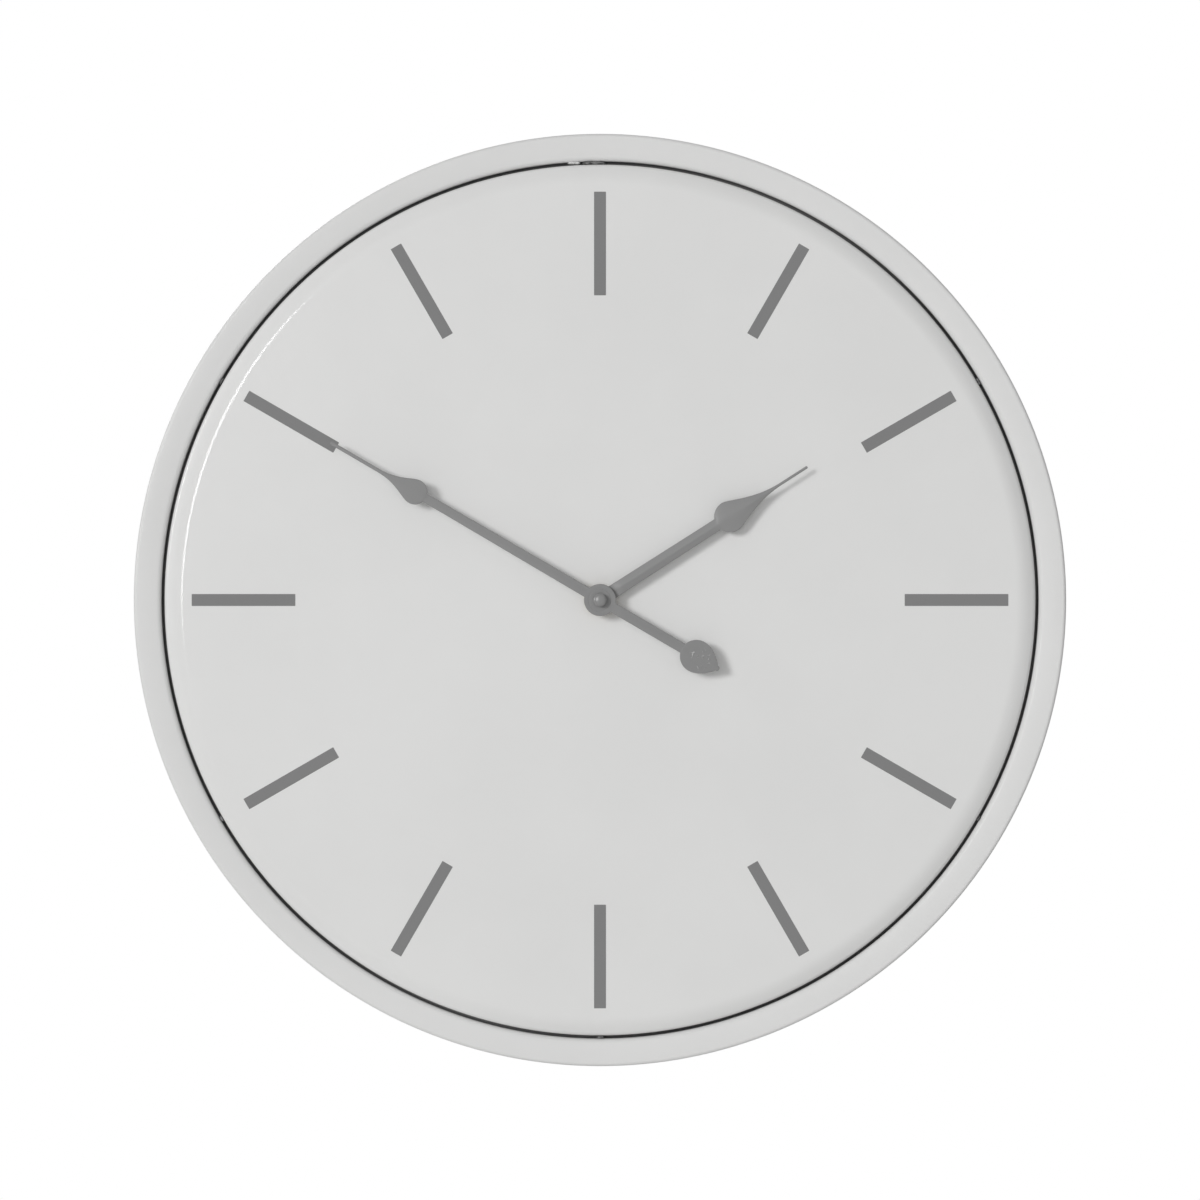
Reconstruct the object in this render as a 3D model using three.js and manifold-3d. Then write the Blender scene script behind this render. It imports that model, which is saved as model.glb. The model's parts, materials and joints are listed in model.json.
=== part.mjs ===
// Wall clock: a painted hoop around a dial pan, with two spade hands driven by a quartz movement.
// Millimetres. The clock faces -Y with +Z up. The origin is the hanging point on the wall plane y = 0.
// Inside the clock group the hand axis is the Y axis, so turned pieces are revolved about Y.

import * as THREE from "three";
import { mergeVertices } from "three/addons/utils/BufferGeometryUtils.js";
import Module from "manifold-3d";

const wasm = await Module();
wasm.setup();

// ---- Driving dimensions: fits ----
const CLEARANCE = 0.3; // between pieces that rest on or pass through each other
const RUNNING_CLEARANCE = 0.25; // around a shaft that turns

const MERGE_DISTANCE = 1e-4;
const SHORTEST_EDGE = 1e-3;
const SMALL_SEGMENTS = 12;

// ---- Driving dimensions: hoop ----
const CLOCK_DIAMETER = 420;
const HOOP_DEPTH = 31.5;
const HOOP_FACE_WIDTH = 12.4;
const HOOP_SHEET = 1.2;
const HOOP_OUTER_CORNER = 1.5;
const HOOP_INNER_CORNER = 2.5;
const REAR_LIP_WIDTH = 10;
const RIM_SEGMENTS = 60;

// ---- Driving dimensions: dial pan ----
const DIAL_GAP = 1.4;
const DIAL_PROUD = 2.5; // from the hoop face forwards to the dial face
const DIAL_SHEET = 1;
const DIAL_DEPTH = 11.3;
const DIAL_ROLL_RADIUS = 17;
const DIAL_ROLL_ANGLE = 25;
const DIAL_EDGE_RADIUS = 3;
const DIAL_FLANGE_WIDTH = 10; // inwards from the rim's wall
const DIAL_LEDGE_WIDTH = 3.1; // outwards from it, behind the hoop's lip

// ---- Driving dimensions: spacers, brackets, hanger and pads ----
const SPACER_COUNT = 6;
const SPACER_WIDTH = 8;
const SPACER_SET_BACK = 1.8; // behind the hoop face
const SPACER_DEPTH = 5;
const BRACKET_COUNT = 4;
const BRACKET_WIDTH = 16;
const BRACKET_SHEET = 1.2;
const BRACKET_LEG = 12;
const SCREW_RADIUS = 1.5;
const SCREW_HEAD_RADIUS = 3;
const SCREW_HEAD_HEIGHT = 1.8;
const SCREW_NUT_FLATS = 5.5;
const SCREW_NUT_HEIGHT = 2.2;
const SCREW_INSET = 6.2; // from the outside of the dial wall to the screw axis
const HANG_BELOW_RIM = 14;
const HANGER_WIDTH = 60;
const HANGER_SHEET = 1.2;
const HANGER_MARGIN = 5;
const KEYHOLE_SLOT_WIDTH = 5;
const KEYHOLE_SLOT_LENGTH = 12;
const KEYHOLE_HEAD_RADIUS = 5;
const RIVET_RADIUS = 1.6;
const RIVET_HEAD_RADIUS = 2.8;
const RIVET_HEAD_HEIGHT = 1.2;
const RIVET_SPACING = 40;
const RIVET_INSET = 6.8;
const WALL_PAD_THICKNESS = 2;
const WALL_PAD_RADIUS = 3.7;

// ---- Driving dimensions: shafts on the hand axis ----
const SECONDS_ARBOR_RADIUS = 0.6;
const MINUTE_ARBOR_RADIUS = 1.8;
const HOUR_TUBE_WALL = 0.7;
const BUSH_WALL = 1;
const COLLET_WALL = 0.7;
const COLLET_FLANGE = 0.6;
const COLLET_FLANGE_WIDTH = 1.5;
const GASKET_THICKNESS = 0.8;
const GASKET_RADIUS = 9;
const WASHER_THICKNESS = 0.9;
const WASHER_RADIUS = 6.8;
const FIXING_NUT_HEIGHT = 2.2;
const FIXING_NUT_FLATS = 10;
const BUSH_PROTRUSION = 0.9;
const HAND_GAP = 0.5;
const HAND_SHEET = 0.5;
const CAP_RADIUS = 3;
const CAP_HEIGHT = 3.7;
const CAP_BORE_DEPTH = 1.9;

// ---- Driving dimensions: hands (angles are clockwise from twelve) ----
const MINUTE_HAND = {
  angle: 300.3, hub: 7.2, stemRoot: 2.35, stemNeck: 2, spadeCentre: 96, spadeRadius: 5.65,
  shoulder: 4, waist: 8.5, taper: 19, needle: 0.8, tip: 139.8,
};
const MINUTE_TAIL = {
  stem: 2.28, spadeCentre: 50, spadeRadius: 7.4,
  shoulder: 4.5, cheekWidth: 3.6, cheek: 8.5, nose: 1.2, tip: 61.8,
};
const HOUR_HAND = {
  angle: 57.3, hub: 6.6, stemRoot: 3.05, stemNeck: 2.75, spadeCentre: 69.3, spadeRadius: 7.1,
  shoulder: 3.7, waist: 12.7, taper: 27.2, needle: 0.6, tip: 110.6,
};

// ---- Driving dimensions: movement ----
const CASE_WALL = 1.2;
const CASE_CORNER = 3;
const TRAIN_DEPTH = 13.2;
const ROOM_ABOVE = 26.8; // from the hand axis to the top of the wheel room, or more for a large train
const WHEEL_MARGIN = 1.2;
const BATTERY_DIAMETER = 14.2;
const BATTERY_LENGTH = 50.5;
const BATTERY_NUB_RADIUS = 2.75;
const BATTERY_NUB_LENGTH = 1;
const BATTERY_SIDE_GAP = 0.15;
const CONTACT_SPACE = 1.55;
const CONTACT_SHEET = 0.4;
const CONTACT_WIDTH = 9;
const CONTACT_FRONT_MARGIN = 1;
const CONTACT_REAR_MARGIN = 2;
const CONTACT_DIMPLE_RADIUS = 3;
const BATTERY_EDGE = 0.6;
const POST_RADIUS = 1.5;
const POST_INSET = 2.3;
const PIVOT_BOSS_RADIUS = 1.8;
const PIVOT_BOSS_HEIGHT = 1;
const SETTING_ARBOR_RADIUS = 1;
const KNOB_RADIUS = 6;
const KNOB_HEIGHT = 4.3;
const KNOB_EDGE = 0.5;

// ---- Driving dimensions: wheel train ----
const TRAIN_MODULE = 0.3;
const ADDENDUM = 0.8; // tooth heights and widths are shares of the module and of the pitch
const DEDENDUM = 1.15;
const TOOTH_TIP = 0.12;
const TOOTH_ROOT = 0.24;
const PINION_TEETH = 8;
const CENTRE_TEETH = 64;
const THIRD_TEETH = 60;
const SECONDS_TEETH = 48;
const INTERMEDIATE_TEETH = 40;
const CANNON_TEETH = 12;
const MOTION_TEETH = 36;
const MOTION_PINION_TEETH = 10;
const HOUR_TEETH = 40;
const CANNON_ROOT_WALL = 0.02;
const PINION_OVERLAP = 0.1; // how far a pinion's face passes the wheel that it meets
const THIRD_DIRECTION = 100; // directions are counter-clockwise from three o'clock
const MOTION_DIRECTION = 135;
const SETTING_DIRECTION = 180;
const TRAIN_DIRECTION = 0;

// Each layer of the movement as distances behind the inside of the case front.
const LAYER = {
  hourWheel: [0.3, 1.5],
  motionWork: [1.9, 2.9],
  trainPlate: [3.5, 4.7],
  centreWheel: [5.3, 6.1],
  thirdWheel: [6.9, 7.7],
  secondsWheel: [8.5, 9.3],
  intermediateWheel: [10.1, 10.9],
  rotorMagnet: [7.7, 9.7],
  rotorPinion: [10, 11.2],
  stator: [8.3, 9.1],
  coilCore: [9.4, 10.2],
  circuitBoard: [8.7, 9.5],
};
const MAGNET_RADIUS = 2.4;
const STATOR_HOLE_RADIUS = 2.8;
const STATOR_BAR_WIDTH = 7.2;
const STATOR_ARM_HEIGHT = 4;
const STATOR_FOOT_MARGIN = 0.8;
const STATOR_HEAD_MARGIN = 1.8;
const BOBBIN_END_GAP = 0.8;
const BORE_GAP = 0.2;
const COIL_OFFSET = 7.4; // from the rotor axis to the coil axis
const CORE_WIDTH = 2.6;
const BOBBIN_BARREL_RADIUS = 1.9;
const BOBBIN_FLANGE_RADIUS = 3.1;
const BOBBIN_FLANGE_THICKNESS = 1;
const WINDING_THICKNESS = 0.8;
const BOARD_SIZE = [22, 11];
const BOARD_MARGIN = 0.8;
const CRYSTAL_RADIUS = 1;
const CRYSTAL_LENGTH = 6;
const CHIP_RADIUS = 3;
const CHIP_HEIGHT = 1.4;
const CRYSTAL_PLACE = [5, 8.5]; // on the board, from its lower left corner
const CHIP_PLACE = [15, 5];

// ---- Worked-out places: hoop and dial ----
const hoopRadius = CLOCK_DIAMETER / 2;
const hoopInnerRadius = hoopRadius - HOOP_FACE_WIDTH;
const dialRadius = hoopInnerRadius - DIAL_GAP;
const facetShare = Math.cos(Math.PI / RIM_SEGMENTS); // a facet's distance from the axis over its corner's
const hoopRearY = -(WALL_PAD_THICKNESS + CLEARANCE);
const hoopFaceY = hoopRearY - HOOP_DEPTH;
const dialFaceY = hoopFaceY - DIAL_PROUD;
const dialFlangeRearY = dialFaceY + DIAL_DEPTH;
const hangDrop = hoopRadius - HANG_BELOW_RIM;

// ---- Worked-out places: stack in front of the dial ----
const pivotBore = SECONDS_ARBOR_RADIUS + RUNNING_CLEARANCE;
const hourTubeInner = MINUTE_ARBOR_RADIUS + RUNNING_CLEARANCE;
const hourTubeOuter = hourTubeInner + HOUR_TUBE_WALL;
const bushInner = hourTubeOuter + RUNNING_CLEARANCE;
const bushOuter = bushInner + BUSH_WALL;
const bushHole = bushOuter + CLEARANCE;
const washerFrontY = dialFaceY - CLEARANCE - WASHER_THICKNESS;
const nutFrontY = washerFrontY - CLEARANCE - FIXING_NUT_HEIGHT;
const bushFrontY = nutFrontY - BUSH_PROTRUSION;
const hourCollet = colletPlaces(bushFrontY - CLEARANCE);
const hourTubeFrontY = hourCollet.frontY - CLEARANCE;
const minuteCollet = colletPlaces(hourTubeFrontY - HAND_GAP);
const capRearY = minuteCollet.frontY - CLEARANCE;
const minuteArborFrontY = capRearY - CAP_BORE_DEPTH + CLEARANCE;

// ---- Worked-out places: movement ----
const centreDistance = TRAIN_MODULE * (PINION_TEETH + CENTRE_TEETH) / 2;
const thirdModule = 2 * centreDistance / (PINION_TEETH + THIRD_TEETH);
const motionModule = (MINUTE_ARBOR_RADIUS + CANNON_ROOT_WALL) / (CANNON_TEETH / 2 - DEDENDUM);
const motionDistance = motionModule * (CANNON_TEETH + MOTION_TEETH) / 2;
const hourModule = 2 * motionDistance / (MOTION_PINION_TEETH + HOUR_TEETH);
const hourWheelTip = hourModule * (HOUR_TEETH / 2 + ADDENDUM);
const centreWheelTip = TRAIN_MODULE * (CENTRE_TEETH / 2 + ADDENDUM);

const centreAxis = [0, 0];
const thirdAxis = polar(centreAxis, centreDistance, THIRD_DIRECTION);
const secondsStep = TRAIN_MODULE * (PINION_TEETH + SECONDS_TEETH) / 2;
const intermediateAxis = polar(centreAxis, secondsStep, TRAIN_DIRECTION);
const rotorStep = TRAIN_MODULE * (PINION_TEETH + INTERMEDIATE_TEETH) / 2;
const rotorAxis = polar(intermediateAxis, rotorStep, TRAIN_DIRECTION);
const motionAxis = polar(centreAxis, motionDistance, MOTION_DIRECTION);
const settingAxis = polar(motionAxis, motionDistance, SETTING_DIRECTION);
const coilX = rotorAxis[0] + COIL_OFFSET;

const caseFrontY = dialFaceY + DIAL_SHEET + CLEARANCE + GASKET_THICKNESS + CLEARANCE;
const caseInnerY = caseFrontY + CASE_WALL;
const caseRearY = caseInnerY + TRAIN_DEPTH;
const coverFrontY = caseRearY + CLEARANCE;
const coverRearY = coverFrontY + CASE_WALL;
const pivotEndY = coverFrontY - CLEARANCE;
const bayHalfWidth = BATTERY_LENGTH / 2 + CONTACT_SPACE;
const roomHalfWidth = Math.max(bayHalfWidth, coilX + BOBBIN_FLANGE_RADIUS + CLEARANCE);
const roomBottom = -Math.max(centreWheelTip, hourWheelTip) - WHEEL_MARGIN;
const thirdWheelTip = thirdModule * (THIRD_TEETH / 2 + ADDENDUM);
const boardPostReach = CLEARANCE + POST_RADIUS + POST_INSET + BOARD_MARGIN;
const roomTop = Math.max(ROOM_ABOVE, thirdAxis[1] + thirdWheelTip + boardPostReach);
const bayTop = roomBottom - CASE_WALL;
const bayBottom = bayTop - BATTERY_DIAMETER - 2 * BATTERY_SIDE_GAP;
const batteryZ = (bayTop + bayBottom) / 2;
const batteryY = caseInnerY + CLEARANCE + BATTERY_DIAMETER / 2;

// ---- Materials ----
function finish(color, roughness, metalness = 0) {
  return new THREE.MeshStandardMaterial({ color, roughness, metalness });
}


const whitePaint = finish(0xe9e9e6, 0.45);
const dialPaint = finish(0xe6e6e3, 0.5);
const minutePaint = finish(0x9a9a99, 0.5);
const hourPaint = finish(0x9d9d9c, 0.5);
const brass = finish(0xb5954d, 0.35, 1);
const zincSteel = finish(0xb4b7ba, 0.4, 1);
const blackPlastic = finish(0x1c1c1d, 0.6);
const whiteNylon = finish(0xe4e2d8, 0.5);
const rubber = finish(0x2a2a2a, 0.9);
const softIron = finish(0x8b8d90, 0.5, 1);
const copper = finish(0xb5652f, 0.35, 1);
const greenBoard = finish(0x1f5a35, 0.55);
const magnetGrey = finish(0x46484b, 0.5, 0.6);
const cellSleeve = finish(0x2f5f8f, 0.35);

// ---- Places on the clock ----

// A point [x, z] at a distance and a direction (counter-clockwise from three o'clock) from another.
function polar([x, z], distance, degrees) {
  const angle = THREE.MathUtils.degToRad(degrees);
  return [x + distance * Math.cos(angle), z + distance * Math.sin(angle)];
}

// Depths of a hand's collet and blade, counted forwards from the collet's rear end.
function colletPlaces(rearY) {
  const flangeFrontY = rearY - COLLET_FLANGE;
  const bladeRearY = flangeFrontY - CLEARANCE;
  const bladeFrontY = bladeRearY - HAND_SHEET;
  return { rearY, flangeFrontY, bladeRearY, bladeFrontY, frontY: bladeFrontY - CLEARANCE };
}

// Depths of a layer of the movement, front then rear.
function layerY([front, rear]) {
  return [caseInnerY + front, caseInnerY + rear];
}

// ---- Joining and cutting ----

function toSolid(geometry) {
  const bare = new THREE.BufferGeometry();
  bare.setAttribute("position", geometry.getAttribute("position"));
  bare.setIndex(geometry.getIndex());
  const merged = mergeVertices(bare, MERGE_DISTANCE);
  const corners = merged.getIndex().array;
  const kept = [];
  for (let i = 0; i < corners.length; i += 3) {
    const [a, b, c] = [corners[i], corners[i + 1], corners[i + 2]];
    if (a !== b && b !== c && c !== a) kept.push(a, b, c);
  }
  const vertProperties = Float32Array.from(merged.getAttribute("position").array);
  return new wasm.Manifold(new wasm.Mesh({ numProp: 3, vertProperties, triVerts: Uint32Array.from(kept) }));
}

function toGeometry(solid) {
  const mesh = solid.getMesh();
  const geometry = new THREE.BufferGeometry();
  geometry.setAttribute("position", new THREE.BufferAttribute(mesh.vertProperties, 3));
  geometry.setIndex(new THREE.BufferAttribute(mesh.triVerts, 1));
  geometry.computeVertexNormals();
  return geometry;
}

function join(...pieces) {
  return toGeometry(pieces.map(toSolid).reduce((whole, piece) => whole.add(piece)));
}

function cut(base, ...tools) {
  return toGeometry(tools.map(toSolid).reduce((whole, tool) => whole.subtract(tool), toSolid(base)));
}

// ---- Basic solids ----

// A profile of [radius, y] points revolved about the Y axis.
// It either starts and ends on the axis or is a ring's section, which is closed here.
function turned(profile, segments = 16) {
  const points = profile.map(([radius, y]) => new THREE.Vector2(radius, y));
  if (THREE.ShapeUtils.isClockWise(points)) points.reverse();
  if (points.every((point) => point.x > 0)) points.push(points[0].clone());
  return new THREE.LatheGeometry(points, segments);
}

function rod(radius, frontY, rearY, segments) {
  return turned([[0, frontY], [radius, frontY], [radius, rearY], [0, rearY]], segments);
}

function tube(inner, outer, frontY, rearY, segments) {
  return turned([[inner, frontY], [outer, frontY], [outer, rearY], [inner, rearY]], segments);
}

// A small rod about an axis at [x, z], used for holes, posts and pins.
function rodAt(radius, [frontY, rearY], [x, z]) {
  return rod(radius, frontY, rearY, SMALL_SEGMENTS).translate(x, 0, z);
}

function block([xMin, xMax], [yMin, yMax], [zMin, zMax]) {
  const box = new THREE.BoxGeometry(xMax - xMin, yMax - yMin, zMax - zMin);
  return box.translate((xMin + xMax) / 2, (yMin + yMax) / 2, (zMin + zMax) / 2);
}

// A shape drawn in X and Z, thickened between two depths.
function plate(shape, [frontY, rearY], curveSegments = 6) {
  const settings = { depth: rearY - frontY, bevelEnabled: false, curveSegments };
  return new THREE.ExtrudeGeometry(shape, settings).rotateX(Math.PI / 2).translate(0, rearY, 0);
}

// Points of an arc in [radius, y], from one angle to another in degrees.
function arc([centreR, centreY], radius, from, to, steps) {
  return Array.from({ length: steps + 1 }, (_, step) => {
    const angle = THREE.MathUtils.degToRad(from + (to - from) * step / steps);
    return [centreR + radius * Math.cos(angle), centreY + radius * Math.sin(angle)];
  });
}

function roundedRectangle([xMin, xMax], [zMin, zMax], radius) {
  const shape = new THREE.Shape();
  shape.absarc(xMax - radius, zMin + radius, radius, -Math.PI / 2, 0);
  shape.absarc(xMax - radius, zMax - radius, radius, 0, Math.PI / 2);
  shape.absarc(xMin + radius, zMax - radius, radius, Math.PI / 2, Math.PI);
  shape.absarc(xMin + radius, zMin + radius, radius, Math.PI, 1.5 * Math.PI);
  shape.closePath();
  return shape;
}

// A nut's six-sided outline with its hole.
function hexagon(flats, holeRadius) {
  const shape = new THREE.Shape();
  for (let corner = 0; corner < 6; corner += 1) {
    const [x, z] = polar([0, 0], flats / Math.sqrt(3), 60 * corner);
    if (corner === 0) shape.moveTo(x, z);
    else shape.lineTo(x, z);
  }
  shape.closePath();
  shape.holes.push(new THREE.Path().absarc(0, 0, holeRadius, 0, 2 * Math.PI));
  return shape;
}

// ---- Gears ----

// A wheel's outline with straight-sided teeth; the phase is the direction of one tooth in radians.
function gearShape(teeth, gearModule, phase, holeRadius = 0) {
  const pitch = 2 * Math.PI / teeth;
  const root = gearModule * (teeth / 2 - DEDENDUM);
  const tip = gearModule * (teeth / 2 + ADDENDUM);
  const corners = [[root, -TOOTH_ROOT], [tip, -TOOTH_TIP], [tip, TOOTH_TIP], [root, TOOTH_ROOT]];
  const outline = Array.from({ length: teeth }, (_, tooth) =>
    corners.map(([radius, share]) => {
      const angle = phase + (tooth + share) * pitch;
      return new THREE.Vector2(radius * Math.cos(angle), radius * Math.sin(angle));
    }));
  const shape = new THREE.Shape(outline.flat());
  if (holeRadius > 0) shape.holes.push(new THREE.Path().absarc(0, 0, holeRadius, 0, 2 * Math.PI));
  return shape;
}

// The phase that puts a gap of the driven wheel where the driver has a tooth.
function meshPhase(driverPhase, driverTeeth, drivenTeeth, directionDegrees) {
  const direction = THREE.MathUtils.degToRad(directionDegrees);
  const turn = (driverPhase - direction) * driverTeeth / drivenTeeth;
  return direction + Math.PI + Math.PI / drivenTeeth - turn;
}

// ---- Hands ----

// One side of a hand from the hub to the tip, as [half width, distance] along a path.
function handSide(path, hand) {
  const rootZ = Math.sqrt(hand.hub ** 2 - hand.stemRoot ** 2);
  const neckDrop = Math.sqrt(hand.spadeRadius ** 2 - hand.stemNeck ** 2);
  path.lineTo(hand.stemRoot, rootZ);
  path.lineTo(hand.stemNeck, hand.spadeCentre - neckDrop);
  path.absarc(0, hand.spadeCentre, hand.spadeRadius, -Math.atan2(neckDrop, hand.stemNeck), 0);
  path.bezierCurveTo(
    hand.spadeRadius, hand.spadeCentre + hand.shoulder,
    hand.needle, hand.spadeCentre + hand.waist,
    hand.needle, hand.spadeCentre + hand.taper,
  );
  path.lineTo(hand.needle, hand.tip);
}

// One side of the counterweight tail from its tip to the hub, pointing down.
function tailSide(path, tail, hub) {
  const neckDrop = Math.sqrt(tail.spadeRadius ** 2 - tail.stem ** 2);
  path.moveTo(tail.nose, -tail.tip);
  path.bezierCurveTo(
    tail.cheekWidth, -(tail.spadeCentre + tail.cheek),
    tail.spadeRadius, -(tail.spadeCentre + tail.shoulder),
    tail.spadeRadius, -tail.spadeCentre,
  );
  path.absarc(0, -tail.spadeCentre, tail.spadeRadius, 0, Math.atan2(neckDrop, tail.stem));
  path.lineTo(tail.stem, -Math.sqrt(hub ** 2 - tail.stem ** 2));
}

// A hand's whole outline: the right side, mirrored for the left, with the hole for its collet.
function handShape(hand, tail, holeRadius) {
  const side = new THREE.Path();
  const stemAngle = Math.acos(hand.stemRoot / hand.hub);
  if (tail) {
    tailSide(side, tail, hand.hub);
    side.absarc(0, 0, hand.hub, -Math.acos(tail.stem / hand.hub), stemAngle);
  } else {
    side.moveTo(0, -hand.hub);
    side.absarc(0, 0, hand.hub, -Math.PI / 2, stemAngle);
  }
  handSide(side, hand);
  const right = side.getPoints(7);
  const left = right.map((point) => new THREE.Vector2(-point.x, point.y)).reverse();
  const outline = [...right, ...left].filter((point, index, all) => {
    const next = all[(index + 1) % all.length];
    return point.distanceTo(next) > SHORTEST_EDGE;
  });
  const shape = new THREE.Shape(outline);
  shape.holes.push(new THREE.Path().absarc(0, 0, holeRadius, 0, 2 * Math.PI));
  return shape;
}

// ---- The clock ----

const clock = new THREE.Group();
clock.position.z = -hangDrop;

function add(name, geometry, material, [x, z] = [0, 0], clockwiseDegrees = 0) {
  const mesh = new THREE.Mesh(geometry, material);
  mesh.name = name;
  mesh.position.set(x, 0, z);
  mesh.rotation.y = THREE.MathUtils.degToRad(clockwiseDegrees);
  clock.add(mesh);
}

// Adds copies of a piece built at twelve o'clock, evenly spaced round the hand axis and numbered from 1.
function addAround(name, geometry, material, count, firstDegrees) {
  for (let copy = 0; copy < count; copy += 1) {
    add(`${name}_${copy + 1}`, geometry, material, [0, 0], firstDegrees + copy * 360 / count);
  }
}

function hoopGeometry() {
  const inner = hoopInnerRadius;
  const outer = hoopRadius;
  const lipEndY = dialFlangeRearY - DIAL_SHEET - CLEARANCE;
  const lipRadius = outer - REAR_LIP_WIDTH;
  const innerCorner = [inner + HOOP_INNER_CORNER, hoopFaceY + HOOP_INNER_CORNER];
  const outerCorner = [outer - HOOP_OUTER_CORNER, hoopFaceY + HOOP_OUTER_CORNER];
  const rearCorner = [outer - HOOP_OUTER_CORNER, hoopRearY - HOOP_OUTER_CORNER];
  const section = [
    [inner, lipEndY],
    ...arc(innerCorner, HOOP_INNER_CORNER, 180, 270, 3),
    ...arc(outerCorner, HOOP_OUTER_CORNER, 270, 360, 2),
    ...arc(rearCorner, HOOP_OUTER_CORNER, 0, 90, 1),
    [lipRadius, hoopRearY],
    [lipRadius, hoopRearY - HOOP_SHEET],
    [outer - HOOP_SHEET, hoopRearY - HOOP_SHEET],
    [outer - HOOP_SHEET, hoopFaceY + HOOP_SHEET],
    [inner + HOOP_SHEET, hoopFaceY + HOOP_SHEET],
    [inner + HOOP_SHEET, lipEndY],
  ];
  const holeDepth = [hoopRearY - 2 * HOOP_SHEET, hoopRearY + HOOP_SHEET];
  const holes = rivetPlaces().map((place) => rodAt(RIVET_RADIUS + CLEARANCE, holeDepth, place));
  return cut(turned(section, RIM_SEGMENTS), ...holes);
}

function dialGeometry() {
  const slope = THREE.MathUtils.degToRad(DIAL_ROLL_ANGLE);
  const plateau = dialRadius - DIAL_EDGE_RADIUS * (1 - Math.sin(slope)) - DIAL_ROLL_RADIUS * Math.sin(slope);
  const rollCentre = [plateau, dialFaceY + DIAL_ROLL_RADIUS];
  const reach = DIAL_ROLL_RADIUS - DIAL_EDGE_RADIUS;
  const edgeCentre = [plateau + reach * Math.sin(slope), rollCentre[1] - reach * Math.cos(slope)];
  const lastAngle = 270 + DIAL_ROLL_ANGLE;
  const flangeRadius = dialRadius - DIAL_FLANGE_WIDTH;
  const ledgeRadius = dialRadius + DIAL_LEDGE_WIDTH;
  const section = [
    [bushHole, dialFaceY],
    ...arc(rollCentre, DIAL_ROLL_RADIUS, 270, lastAngle, 3),
    ...arc(edgeCentre, DIAL_EDGE_RADIUS, lastAngle, 360, 2).slice(1),
    [dialRadius, dialFlangeRearY - DIAL_SHEET],
    [ledgeRadius, dialFlangeRearY - DIAL_SHEET],
    [ledgeRadius, dialFlangeRearY],
    [flangeRadius, dialFlangeRearY],
    [flangeRadius, dialFlangeRearY - DIAL_SHEET],
    [dialRadius - DIAL_SHEET, dialFlangeRearY - DIAL_SHEET],
    ...arc(edgeCentre, DIAL_EDGE_RADIUS - DIAL_SHEET, 360, lastAngle, 2),
    ...arc(rollCentre, DIAL_ROLL_RADIUS - DIAL_SHEET, lastAngle, 270, 3).slice(1),
    [bushHole, dialFaceY + DIAL_SHEET],
  ];
  const holeDepth = [dialFlangeRearY - 2 * DIAL_SHEET, dialFlangeRearY + DIAL_SHEET];
  const holes = bracketAngles().map((degrees) =>
    rodAt(SCREW_RADIUS + CLEARANCE, holeDepth, polar([0, 0], screwRadius(), 90 - degrees)));
  return cut(turned(section, RIM_SEGMENTS), ...holes);
}

// Clockwise angles from twelve.
function bracketAngles() {
  return Array.from({ length: BRACKET_COUNT }, (_, index) => (index + 0.5) * 360 / BRACKET_COUNT);
}

function screwRadius() {
  return dialRadius - SCREW_INSET;
}

function rivetPlaces() {
  const radius = hoopRadius - RIVET_INSET;
  const z = Math.sqrt(radius ** 2 - (RIVET_SPACING / 2) ** 2);
  return [[-RIVET_SPACING / 2, z], [RIVET_SPACING / 2, z]];
}

function addHoopAndDial() {
  add("frame_hoop", hoopGeometry(), whitePaint);
  add("dial_pan", dialGeometry(), dialPaint);
  const spacer = block(
    [-SPACER_WIDTH / 2, SPACER_WIDTH / 2],
    [hoopFaceY + SPACER_SET_BACK, hoopFaceY + SPACER_SET_BACK + SPACER_DEPTH],
    [dialRadius + CLEARANCE, hoopInnerRadius - CLEARANCE],
  );
  addAround("dial_spacer", spacer, whitePaint, SPACER_COUNT, 0);
}

function addBrackets() {
  const footFrontY = dialFlangeRearY + CLEARANCE;
  const footRearY = footFrontY + BRACKET_SHEET;
  const legLimit = (hoopRadius - HOOP_SHEET) * facetShare - CLEARANCE;
  const legRadius = Math.sqrt(legLimit ** 2 - (BRACKET_WIDTH / 2) ** 2);
  const width = [-BRACKET_WIDTH / 2, BRACKET_WIDTH / 2];
  const foot = block(width, [footFrontY, footRearY], [dialRadius - DIAL_FLANGE_WIDTH, legRadius]);
  const leg = block(width, [footFrontY, footRearY + BRACKET_LEG], [legRadius - BRACKET_SHEET, legRadius]);
  const hole = rodAt(SCREW_RADIUS + CLEARANCE, [footFrontY - 1, footRearY + 1], [0, screwRadius()]);
  addAround("dial_bracket", cut(join(foot, leg), hole), zincSteel, BRACKET_COUNT, bracketAngles()[0]);

  const nutRearY = dialFlangeRearY - DIAL_SHEET - CLEARANCE;
  const nutFront = nutRearY - SCREW_NUT_HEIGHT;
  const headFrontY = footRearY + CLEARANCE;
  const headRearY = headFrontY + SCREW_HEAD_HEIGHT;
  const screw = turned([
    [0, nutFront - SCREW_RADIUS],
    [SCREW_RADIUS, nutFront - SCREW_RADIUS],
    [SCREW_RADIUS, headFrontY],
    [SCREW_HEAD_RADIUS, headFrontY],
    [SCREW_HEAD_RADIUS * 0.8, headRearY],
    [0, headRearY],
  ], SMALL_SEGMENTS).translate(0, 0, screwRadius());
  addAround("bracket_screw", screw, zincSteel, BRACKET_COUNT, bracketAngles()[0]);

  const nut = plate(hexagon(SCREW_NUT_FLATS, SCREW_RADIUS + CLEARANCE), [nutFront, nutRearY]);
  addAround("bracket_nut", nut.translate(0, 0, screwRadius()), zincSteel, BRACKET_COUNT, bracketAngles()[0]);
}

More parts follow.
